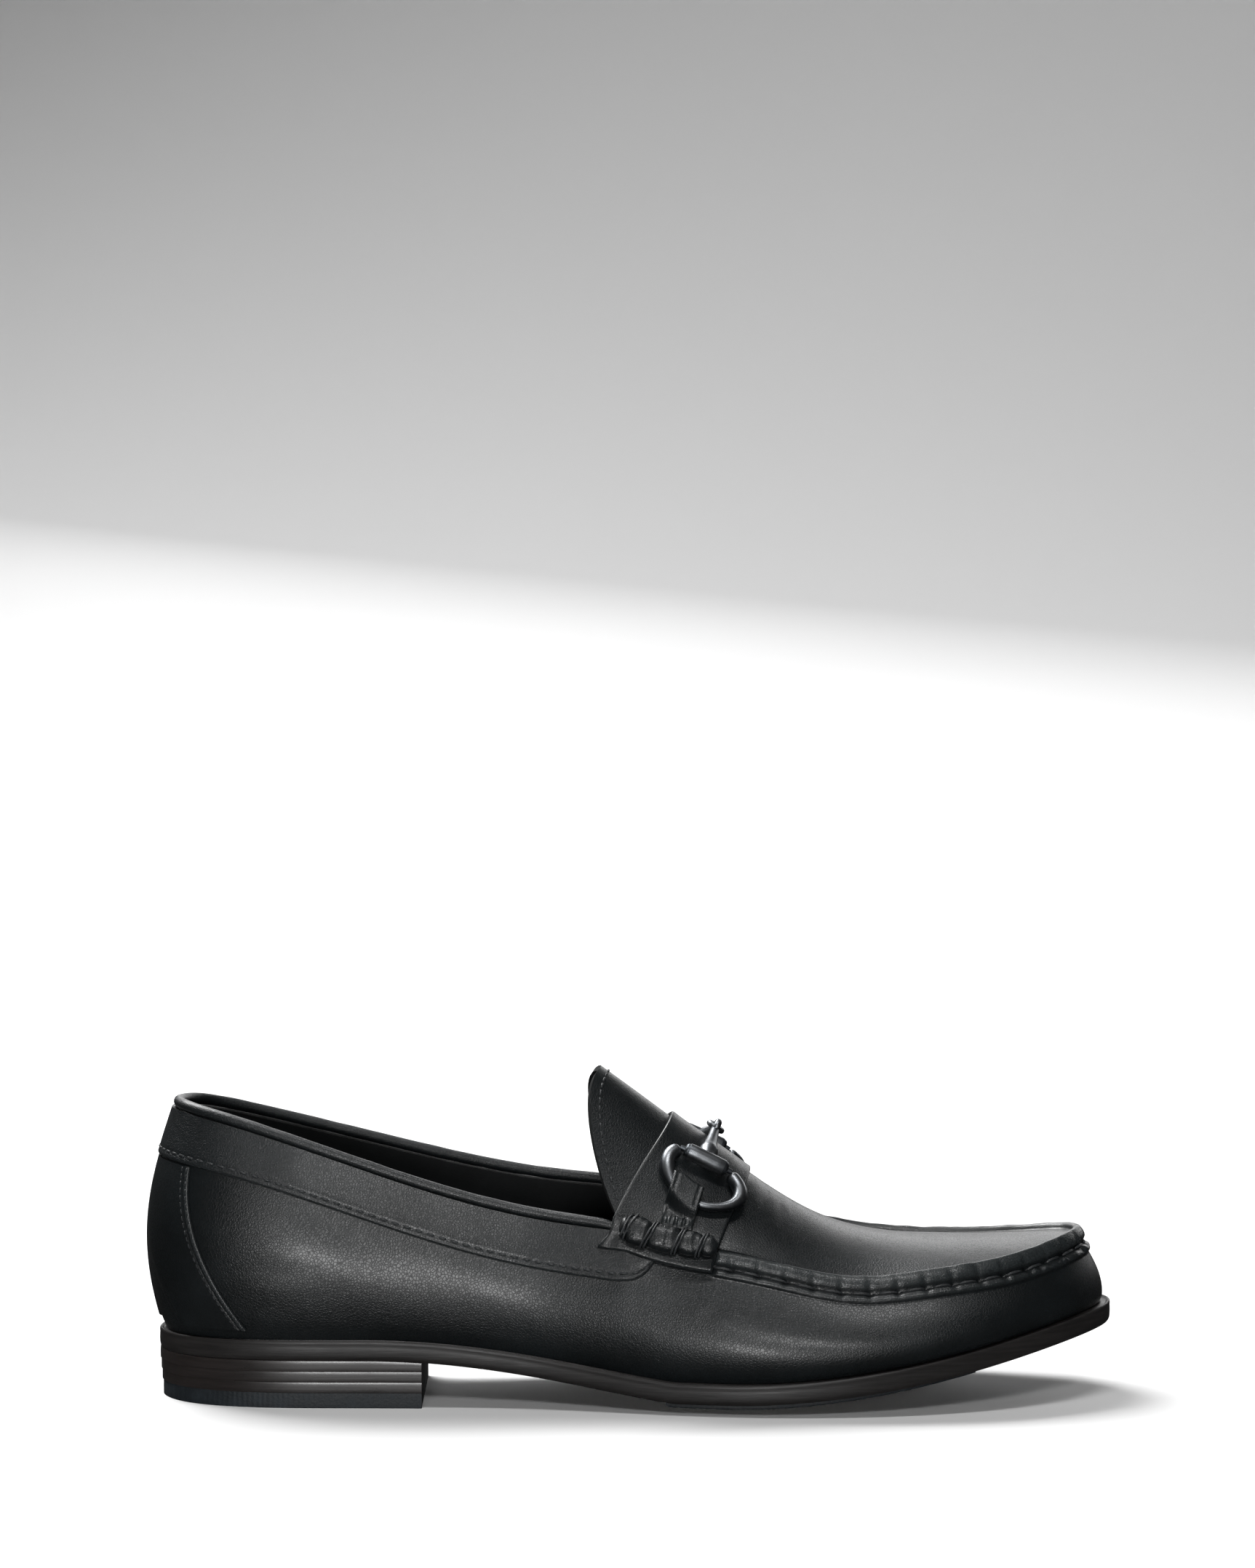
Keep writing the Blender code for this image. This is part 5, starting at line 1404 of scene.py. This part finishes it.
class Finish:
    """A surface finish: one Principled surface and the nodes that vary it."""

    def __init__(self, name, constants):
        self.material = bpy.data.materials.new(name)
        self.material.use_nodes = True
        self.tree = self.material.node_tree
        self.surface = self.tree.nodes["Principled BSDF"]
        for socket, value in constants.items():
            self.surface.inputs[socket].default_value = value
        self.place = Wire(self, self.node("ShaderNodeTexCoord").outputs["Object"])
        # The wear attribute: rubbed wear, and on ridges and tops a painted highlight.
        worn = self.node("ShaderNodeAttribute", {"attribute_name": "wear"})
        self.wear = Wire(self, worn.outputs["Fac"])

    def node(self, kind, settings=None, values=None):
        made = self.tree.nodes.new(kind)
        for name, value in (settings or {}).items():
            setattr(made, name, value)
        for name, value in (values or {}).items():
            if isinstance(value, Wire):
                self.tree.links.new(value.socket, made.inputs[name])
            else:
                made.inputs[name].default_value = value
        return made

    def number_first(self, operation, number, wire):
        node = self.node("ShaderNodeMath", {"operation": operation}, {0: number, 1: wire})
        return Wire(self, node.outputs[0])

    def stretched(self, x, y, z):
        """The surface's place with its directions stretched."""
        node = self.node("ShaderNodeVectorMath", {"operation": "MULTIPLY"}, {0: self.place, 1: (x, y, z)})
        return Wire(self, node.outputs["Vector"])

    def axis(self, name):
        node = self.node("ShaderNodeSeparateXYZ", values={0: self.place})
        return Wire(self, node.outputs[name])

    def noise(self, size, detail=2.0, rough=0.5, at=None, twist=0.0):
        """Cloudy variation from 0 to 1, with lumps of a given size in metres."""
        values = {"Vector": at or self.place, "Scale": 1 / size, "Detail": detail, "Roughness": rough,
                  "Distortion": twist}
        return Wire(self, self.node("ShaderNodeTexNoise", values=values).outputs["Fac"])

    def cells(self, size, at=None, feature="DISTANCE_TO_EDGE", chance=1.0):
        """Cells of a given size: how far a place is from the nearest cell's edge or middle."""
        values = {"Vector": at or self.place, "Scale": 1 / size, "Randomness": chance}
        node = self.node("ShaderNodeTexVoronoi", {"feature": feature}, values)
        return Wire(self, node.outputs["Distance"])

    def shifted(self, amount, size):
        """The surface's place, pushed about by a noise, so that cells lose their straight edges."""
        values = {"Vector": self.place, "Scale": 1 / size, "Detail": 1.0}
        push = self.node("ShaderNodeTexNoise", values=values)
        centred = self.node("ShaderNodeVectorMath", {"operation": "MULTIPLY_ADD"},
                            {0: Wire(self, push.outputs["Color"]), 1: (amount,) * 3, 2: self.place})
        return Wire(self, centred.outputs["Vector"])

    def blend(self, share, first, second):
        """A colour between two; share says how far it is to the second."""
        node = self.node("ShaderNodeMix", {"data_type": "RGBA"})
        sockets = {item.identifier: item for item in (*node.inputs, *node.outputs)}
        for name, value in (("Factor_Float", share), ("A_Color", first), ("B_Color", second)):
            if isinstance(value, Wire):
                self.tree.links.new(value.socket, sockets[name])
            else:
                sockets[name].default_value = (*value, 1.0)
        return Wire(self, sockets["Result_Color"])

    def feed(self, socket, wire):
        self.tree.links.new(wire.socket, self.surface.inputs[socket])

    def raise_by(self, *layers):
        """Bump layers, coarse first: each a height from 0 to 1, its real depth and its strength."""
        normal = None
        for height, depth, strength in layers:
            values = {"Height": height, "Distance": depth, "Strength": strength}
            if normal:
                values["Normal"] = normal
            normal = Wire(self, self.node("ShaderNodeBump", values=values).outputs["Normal"])
        self.feed("Normal", normal)


def scaled(color, share):
    """A colour made lighter or darker."""
    return tuple(share * value for value in color)


# A hide's grain: the size and depth of its cells, its roughness, and how much clear polish it has.
Hide = namedtuple("Hide", "cell depth roughness polish")
SMOOTH_HIDE = Hide(0.9 * MM, 0.050 * MM, 0.32, 0.22)
GRAINED_HIDE = Hide(0.8 * MM, 0.080 * MM, 0.33, 0.20)
THREAD_SIZE = 0.7 * MM


def calf(name, color, wear_and_highlight_color, hide):
    """Polished calf: cells of grain, pores, soft wrinkles, cloudy polish, and a lighter colour on high
    places that is rubbed wear and painted highlight.
    """
    made = Finish(name, {"Coat Roughness": 0.24, "Coat IOR": 1.45, "Specular IOR Level": 0.42})
    at = made.shifted(0.5 * hide.cell, 2.2 * hide.cell)
    grain = made.cells(hide.cell, at)
    crease = 1 - grain.steps(0.0, 0.16)
    fine = made.cells(hide.cell * 0.42, at)
    pores = made.cells(hide.cell * 0.8, made.shifted(0.3 * hide.cell, 3 * hide.cell), "F1")
    pore = 1 - pores.steps(0.05, 0.16)
    cloud = made.noise(22 * MM, 3.0, 0.55)
    patch = made.noise(7 * MM, 3.0, 0.6)
    streak = made.noise(9 * MM, 2.0, 0.6, made.stretched(0.35, 1.0, 1.6), 0.4)
    dark = scaled(color, 0.55)
    base = made.blend(cloud.steps(0.30, 0.70), dark, color)
    # The wear attribute's lighter colour on ridges, crowns, tops and edges: rubbed wear, and on ridges and
    # tops also a painted highlight.
    lit = made.blend((made.wear * (0.55 + 0.7 * patch)).steps(0.1, 1.0), base, wear_and_highlight_color)
    made.feed("Base Color", made.blend((crease * 0.7).steps(0.0, 1.0), lit, dark))
    rough = hide.roughness + 0.08 * (patch - 0.5) + 0.08 * (cloud - 0.5) + 0.16 * crease - 0.04 * made.wear
    made.feed("Roughness", rough)
    made.feed("Coat Weight", hide.polish * (0.65 + 0.7 * (1 - streak)) * (1 - 0.75 * crease))
    made.raise_by((made.noise(16 * MM, 2.0, 0.5), 0.15 * MM, 0.5),
                  (streak, 0.04 * MM, 0.5),
                  (grain.steps(0.0, 0.22), hide.depth, 0.55),
                  (fine.steps(0.0, 0.25), hide.depth * 0.45, 0.5),
                  (1 - pore, hide.depth * 0.4, 0.3))
    return made.material


def sole_edge(color):
    """The sole's waxed edge: fine lines along it, rubbed a little on its lip."""
    made = Finish("sole_edge_wax", {"Coat Roughness": 0.3, "Specular IOR Level": 0.3})
    lines = made.noise(0.9 * MM, 3.0, 0.6, made.stretched(0.06, 0.06, 1.0))
    cloud = made.noise(14 * MM, 3.0, 0.6)
    scuff = made.noise(2.2 * MM, 4.0, 0.7, made.stretched(0.3, 0.3, 1.0))
    light = scaled(color, 2.4)
    base = made.blend(lines.steps(0.3, 0.8) * 0.5, color, light)
    made.feed("Base Color", made.blend((made.wear * scuff).steps(0.15, 0.65) * 0.6, base,
                                       scaled(color, 3.2)))
    made.feed("Roughness", 0.44 + 0.22 * (cloud - 0.5) + 0.20 * (scuff - 0.5))
    made.feed("Coat Weight", 0.15 * cloud)
    made.raise_by((lines, 0.10 * MM, 0.5), (scuff, 0.08 * MM, 0.4))
    return made.material


def stack_leather(color):
    """Stacked leather: fine layers lying flat, waxed dark."""
    made = Finish("stacked_leather", {"Coat Roughness": 0.2, "Specular IOR Level": 0.45})
    layers = made.noise(0.55 * MM, 2.0, 0.5, made.stretched(0.03, 0.03, 1.0))
    fibre = made.noise(0.5 * MM, 3.0, 0.7)
    cloud = made.noise(9 * MM, 3.0, 0.6)
    light = scaled(color, 1.3)
    base = made.blend(layers.steps(0.3, 0.75), scaled(color, 0.7), light)
    made.feed("Base Color", made.blend(cloud.steps(0.3, 0.8) * 0.6, base, color))
    made.feed("Roughness", 0.34 + 0.25 * (fibre - 0.5) + 0.15 * (cloud - 0.5))
    made.feed("Coat Weight", 0.45 * (1 - 0.5 * cloud))
    made.raise_by((layers, 0.03 * MM, 0.4), (fibre, 0.03 * MM, 0.4))
    return made.material


def tread_rubber(color):
    """Moulded rubber: matt, finely pebbled, ribbed across on its underside and dusty in patches."""
    made = Finish("tread_rubber", {"Specular IOR Level": 0.35})
    pebble = made.cells(0.7 * MM, made.shifted(0.3 * MM, 2 * MM), "F1")
    dust = made.noise(6 * MM, 4.0, 0.65)
    ribs = (made.axis("X") * (2 * math.pi / (1.6 * MM))).math("SINE")
    light = scaled(color, 1.7)
    made.feed("Base Color", made.blend(dust.steps(0.4, 0.8), color, light))
    made.feed("Roughness", 0.55 + 0.25 * (dust - 0.5))
    made.raise_by((ribs * 0.5 + 0.5, 0.10 * MM, 0.35), (pebble, 0.08 * MM, 0.5))
    return made.material


def bit_metal(name, color, wear_and_highlight_color):
    """Antiqued metal: dark in its recesses, rubbed bright on its crowns, with fine hairlines; on the rings
    the bright crown is their top side, partly a painted highlight.
    """
    made = Finish(name, {"Metallic": 1.0})
    tarnish = made.noise(3.2 * MM, 4.0, 0.65)
    hair = made.noise(0.35 * MM, 2.0, 0.6, made.stretched(1.0, 0.12, 1.0))
    pits = made.cells(0.9 * MM, made.shifted(0.5 * MM, 2 * MM), "F1").steps(0.02, 0.22)
    # Rubbed wear on the barrel and shank, and on the rings' top side a painted highlight as well.
    worn = (made.wear * (0.35 + 1.1 * tarnish)).steps(0.25, 0.85)
    made.feed("Base Color", made.blend(worn, color, wear_and_highlight_color))
    made.feed("Roughness", 0.44 + 0.16 * (tarnish - 0.5) + 0.14 * (hair - 0.5) - 0.08 * worn)
    made.raise_by((tarnish, 0.05 * MM, 0.4), (hair, 0.01 * MM, 0.4), (pits, 0.02 * MM, 0.25))
    return made.material


def lining_leather(name, color, light):
    """Soft undyed-side leather or suede: fine nap, faint rubbed places."""
    made = Finish(name, {"Specular IOR Level": 0.2})
    nap = made.noise(0.45 * MM, 4.0, 0.75)
    cloud = made.noise(11 * MM, 3.0, 0.6)
    made.feed("Base Color", made.blend(cloud.steps(0.3, 0.75) * 0.6 + nap * 0.4, color, light))
    made.feed("Roughness", 0.68 + 0.2 * (nap - 0.5))
    made.raise_by((cloud, 0.2 * MM, 0.35), (nap, 0.12 * MM, 0.6))
    return made.material


def waxed_thread(name, color, size):
    """Twisted waxed thread: its strands wind round it."""
    made = Finish(name, {"Specular IOR Level": 0.4, "Coat Roughness": 0.3})
    strands = made.cells(size * 0.5, made.stretched(1.0, 1.0, 1.6), "F1")
    fuzz = made.noise(size * 0.3, 3.0, 0.7)
    light = scaled(color, 2.6)
    made.feed("Base Color", made.blend(strands.steps(0.1, 0.7), light, color))
    made.feed("Roughness", 0.46 + 0.2 * (fuzz - 0.5))
    made.feed("Coat Weight", 0.25 * fuzz)
    made.raise_by((strands, size * 0.25, 0.6), (fuzz, size * 0.08, 0.5))
    return made.material


def measure(name, description, default, low, high):
    """A size of the seams, given in millimetres."""
    return FloatProperty(name=name, description=description, default=default * MM, min=low * MM,
                         max=high * MM, unit="LENGTH")


class LoaferSizes(bpy.types.PropertyGroup):
    """Sizes of the stitching and of the moccasin seam."""

    ridge_height: measure("Seam height", "How high the moccasin seam stands up", 2.1, 0.5, 4)
    seam_pitch: measure("Seam pitch", "From one stitch of the moccasin seam to the next", 8.6, 3, 15)
    pleat_pitch: measure("Pleat pitch", "From one pleat at the toe to the next", 4.6, 2, 12)
    band_pitch: measure("Band pitch", "From one stitch of the collar band to the next", 3.8, 1.5, 8)
    counter_pitch: measure("Counter pitch", "From one fine stitch of the counter to the next", 2.2, 1, 6)


def tint(name, description, default):
    return FloatVectorProperty(name=name, description=description, default=default, size=3, min=0.0, max=1.0,
                               subtype="COLOR")


class LoaferColors(bpy.types.PropertyGroup):
    """Colours of the leather, thread, metal, sole and floor."""

    calf: tint("Calf", "The polished black calf", (0.0058, 0.0080, 0.0090))
    # The lighter calf on high places and tops: rubbed wear and painted highlight.
    calf_wear_and_highlight: tint("Rubbed calf", "The calf where high places are rubbed", (0.022, 0.026, 0.027))
    band: tint("Band", "The collar band's calf", (0.0085, 0.0108, 0.0120))
    lining: tint("Lining", "The lining and the foot bed", (0.0045, 0.0050, 0.0052))
    thread: tint("Thread", "The waxed thread", (0.0120, 0.0135, 0.0145))
    metal: tint("Metal", "The bit's antiqued metal", (0.085, 0.093, 0.102))
    # The lighter metal on crowns: rubbed wear, and on the rings' top side a painted highlight.
    metal_wear_and_highlight: tint("Rubbed metal", "The metal where it is rubbed", (0.24, 0.25, 0.262))
    sole: tint("Sole edge", "The waxed edge of the sole", (0.0095, 0.0086, 0.0084))
    stack: tint("Heel stack", "The heel's leather layers", (0.0145, 0.0115, 0.0108))
    rubber: tint("Rubber", "The top lift and the forefoot tread", (0.0080, 0.0115, 0.0145))
    floor: tint("Floor", "The floor and the backdrop", (0.86, 0.86, 0.86))


def finish_named(name, maker, *values):
    """A finish is made once, and shared by every piece that has it; its name isn't one of the solids'."""
    return bpy.data.materials.get(name) or maker(name, *values)


def black_calf(colors):
    return finish_named("polished_calf", calf, tuple(colors.calf), tuple(colors.calf_wear_and_highlight), SMOOTH_HIDE)


def band_calf(colors):
    return finish_named("grained_calf", calf, tuple(colors.band), tuple(colors.calf_wear_and_highlight), GRAINED_HIDE)


def lining(colors):
    return finish_named("lining_leather", lining_leather, tuple(colors.lining), scaled(colors.lining, 2.2))


def cut_edge(colors):
    return finish_named("cut_edge", lining_leather, scaled(colors.lining, 0.8), scaled(colors.lining, 2.6))


def thread(colors):
    return finish_named("waxed_thread", waxed_thread, tuple(colors.thread), THREAD_SIZE)


def metal(colors):
    return finish_named("antiqued_metal", bit_metal, tuple(colors.metal), tuple(colors.metal_wear_and_highlight))


class LOAFER_OT_upper(bpy.types.Operator):
    """Build the hollow upper with its moccasin seam, creases and lining."""

    bl_idname = "loafer.upper"
    bl_label = "Upper"

    def execute(self, context):
        sizes, colors = context.scene.loafer_sizes, context.scene.loafer_colors
        make_upper(sizes, [black_calf(colors), lining(colors), cut_edge(colors)])
        make_moc_thread(sizes).make("seam_thread", [thread(colors)], "black_calf")
        make_tongue_stitches(sizes).make("tongue_stitches", [thread(colors)], "black_calf")
        return {"FINISHED"}


class LOAFER_OT_collar(bpy.types.Operator):
    """Build the collar band and the bead on the top line, with the band's stitches."""

    bl_idname = "loafer.collar"
    bl_label = "Collar"

    def execute(self, context):
        sizes, colors = context.scene.loafer_sizes, context.scene.loafer_colors
        make_band(sizes, [band_calf(colors)]).make("band_stitches", [thread(colors)], "band_calf")
        make_bead([band_calf(colors)])
        return {"FINISHED"}


class LOAFER_OT_counter(bpy.types.Operator):
    """Build the counter round the heel, with its stitched front edges."""

    bl_idname = "loafer.counter"
    bl_label = "Counter"

    def execute(self, context):
        sizes, colors = context.scene.loafer_sizes, context.scene.loafer_colors
        make_counter(sizes, [black_calf(colors)]).make("counter_stitches", [thread(colors)], "black_calf")
        return {"FINISHED"}


class LOAFER_OT_strap(bpy.types.Operator):
    """Build the instep strap, its corded rolls and the tabs that hold the bit."""

    bl_idname = "loafer.strap"
    bl_label = "Strap"

    def execute(self, context):
        colors = context.scene.loafer_colors
        make_strap([black_calf(colors)])
        for side in (OUTER, INNER):
            cords = make_roll(side, [black_calf(colors)])
            cords.make("roll_cords_" + SIDE_NAMES[side][0], [thread(colors)], "black_calf")
            make_keeper(side, [black_calf(colors)])
        return {"FINISHED"}


class LOAFER_OT_bit(bpy.types.Operator):
    """Build the bit: two open rings and two linked bars with their barrels."""

    bl_idname = "loafer.bit"
    bl_label = "Bit"

    def execute(self, context):
        colors = context.scene.loafer_colors
        for side in (OUTER, INNER):
            make_ring(side, [metal(colors)])
            make_bar(side, [metal(colors)])
        return {"FINISHED"}


class LOAFER_OT_sole(bpy.types.Operator):
    """Build the sole, the heel's layers, the rubber treads and the foot bed."""

    bl_idname = "loafer.sole"
    bl_label = "Sole and heel"

    def execute(self, context):
        colors = context.scene.loafer_colors
        rubber = tread_rubber(tuple(colors.rubber))
        make_outsole([sole_edge(tuple(colors.sole))])
        make_heel([stack_leather(tuple(colors.stack))], [rubber])
        make_pad([rubber])
        make_sock([lining(colors)])
        return {"FINISHED"}


# The studio's soft lights: where each stands, what it looks at, its width and height, and its power.
Lamp = namedtuple("Lamp", "name place aim size power")
STUDIO = table(
    Lamp,
    ("back_softbox", (-0.9, 1.2, 1.9), (0.0, 0.0, 0.0), (1.6, 1.2), 90),
    ("back_card", (0.6, 2.4, 0.80), (0.1, 0.0, 0.05), (2.4, 1.0), 14),
    ("overhead_softbox", (0.10, -0.45, 1.75), (0.0, 0.0, 0.05), (0.9, 0.22), 10),
    ("band_softbox", (0.10, -1.60, 0.95), (-0.03, 0.0, 0.07), (0.46, 0.24), 8),
    ("quarter_softbox", (-0.24, -1.60, 0.14), (-0.08, 0.0, 0.05), (0.22, 0.30), 9),
    ("front_card", (0.0, -2.30, 0.22), (0.0, 0.0, 0.05), (1.8, 0.5), 0.5),
)
ROOM_GLOW = 0.02
# The floor: half its width, its near edge, where it bends up, how round the bend is and how high it goes.
FLOOR_SIDE, FLOOR_NEAR, FLOOR_BEND, BEND_RADIUS, WALL_TOP = 7.0, -6.0, 2.0, 1.5, 6.0
# The camera: its lens and sensor in millimetres, how far along and back it stands, what height it
# looks at and how far it looks down.
LENS, SENSOR = 132.0, 36.0
CAMERA_ALONG, CAMERA_BACK, AIM_HEIGHT = 0.1473, 1.8, 0.1919
CAMERA_TILT = math.radians(3.5)


def add_light(lamp):
    """A soft square light that looks at a place on the shoe."""
    light = bpy.data.lights.new(lamp.name, "AREA")
    light.shape = "RECTANGLE"
    light.size, light.size_y = lamp.size
    light.energy = lamp.power
    holder = bpy.data.objects.new(lamp.name, light)
    bpy.context.scene.collection.objects.link(holder)
    holder.location = lamp.place
    holder.rotation_euler = (Vector(lamp.aim) - Vector(lamp.place)).to_track_quat("-Z", "Y").to_euler()


def make_floor(color):
    """The pale floor, which bends up into a wall behind the shoe."""
    made = Finish("pale_floor", {"Specular IOR Level": 0.1, "Roughness": 0.9})
    made.feed("Base Color", made.blend(made.noise(0.4, 2.0, 0.5), tuple(color), scaled(color, 0.985)))
    turn = np.linspace(0, math.pi / 2, 24)
    bend = ((FLOOR_BEND + BEND_RADIUS * math.sin(a), BEND_RADIUS - BEND_RADIUS * math.cos(a)) for a in turn)
    profile = [(FLOOR_NEAR, 0.0), *bend, (FLOOR_BEND + BEND_RADIUS, WALL_TOP)]
    points = [(x, y, z) for x in (-FLOOR_SIDE, FLOOR_SIDE) for y, z in profile]
    count = len(profile)
    mesh = bpy.data.meshes.new("pale_floor")
    mesh.from_pydata(points, [], [(i, i + count, i + count + 1, i + 1) for i in range(count - 1)])
    mesh.materials.append(made.material)
    mesh.shade_smooth()
    floor = bpy.data.objects.new("pale_floor", mesh)
    bpy.context.scene.collection.objects.link(floor)
    floor.visible_glossy = False


def make_camera():
    """The camera at the photograph's place."""
    lens = bpy.data.cameras.new("camera")
    lens.lens, lens.sensor_width = LENS, SENSOR
    camera = bpy.data.objects.new("camera", lens)
    bpy.context.scene.collection.objects.link(camera)
    height = AIM_HEIGHT + CAMERA_BACK * math.tan(CAMERA_TILT)
    camera.location = (HOME.x + CAMERA_ALONG, HOME.y - CAMERA_BACK, height)
    camera.rotation_euler = (math.pi / 2 - CAMERA_TILT, 0.0, 0.0)
    bpy.context.scene.camera = camera


class LOAFER_OT_stage(bpy.types.Operator):
    """Build the pale floor that curves up behind the shoe, the soft lights and the camera."""

    bl_idname = "loafer.stage"
    bl_label = "Floor, lights and camera"

    def execute(self, context):
        make_floor(context.scene.loafer_colors.floor)
        world = bpy.data.worlds.new("studio")
        world.use_nodes = True
        background = world.node_tree.nodes["Background"]
        background.inputs["Color"].default_value = (1.0, 1.0, 1.0, 1.0)
        background.inputs["Strength"].default_value = ROOM_GLOW
        context.scene.world = world
        context.scene.view_settings.view_transform = "Standard"
        for lamp in STUDIO:
            add_light(lamp)
        make_camera()
        return {"FINISHED"}


OPERATORS = (LOAFER_OT_upper, LOAFER_OT_collar, LOAFER_OT_counter, LOAFER_OT_strap, LOAFER_OT_bit,
             LOAFER_OT_sole, LOAFER_OT_stage)


class LOAFER_PT_panel(bpy.types.Panel):
    """Sizes, colours and the steps of the build."""

    bl_idname = "LOAFER_PT_panel"
    bl_label = "Loafer"
    bl_space_type = "VIEW_3D"
    bl_region_type = "UI"
    bl_category = "Loafer"

    def draw(self, context):
        for group in (context.scene.loafer_sizes, context.scene.loafer_colors):
            for name in group.__annotations__:
                self.layout.prop(group, name)
        for step in OPERATORS:
            self.layout.operator(step.bl_idname)


CLASSES = (LoaferSizes, LoaferColors, *OPERATORS, LOAFER_PT_panel)


def register():
    for item in CLASSES:
        bpy.utils.register_class(item)
    bpy.types.Scene.loafer_sizes = PointerProperty(type=LoaferSizes)
    bpy.types.Scene.loafer_colors = PointerProperty(type=LoaferColors)


def unregister():
    del bpy.types.Scene.loafer_sizes, bpy.types.Scene.loafer_colors
    for item in reversed(CLASSES):
        bpy.utils.unregister_class(item)


def main():
    register()
    bpy.ops.loafer.upper()
    bpy.ops.loafer.collar()
    bpy.ops.loafer.counter()
    bpy.ops.loafer.strap()
    bpy.ops.loafer.bit()
    bpy.ops.loafer.sole()
    bpy.ops.loafer.stage()


if __name__ == "__main__":
    main()
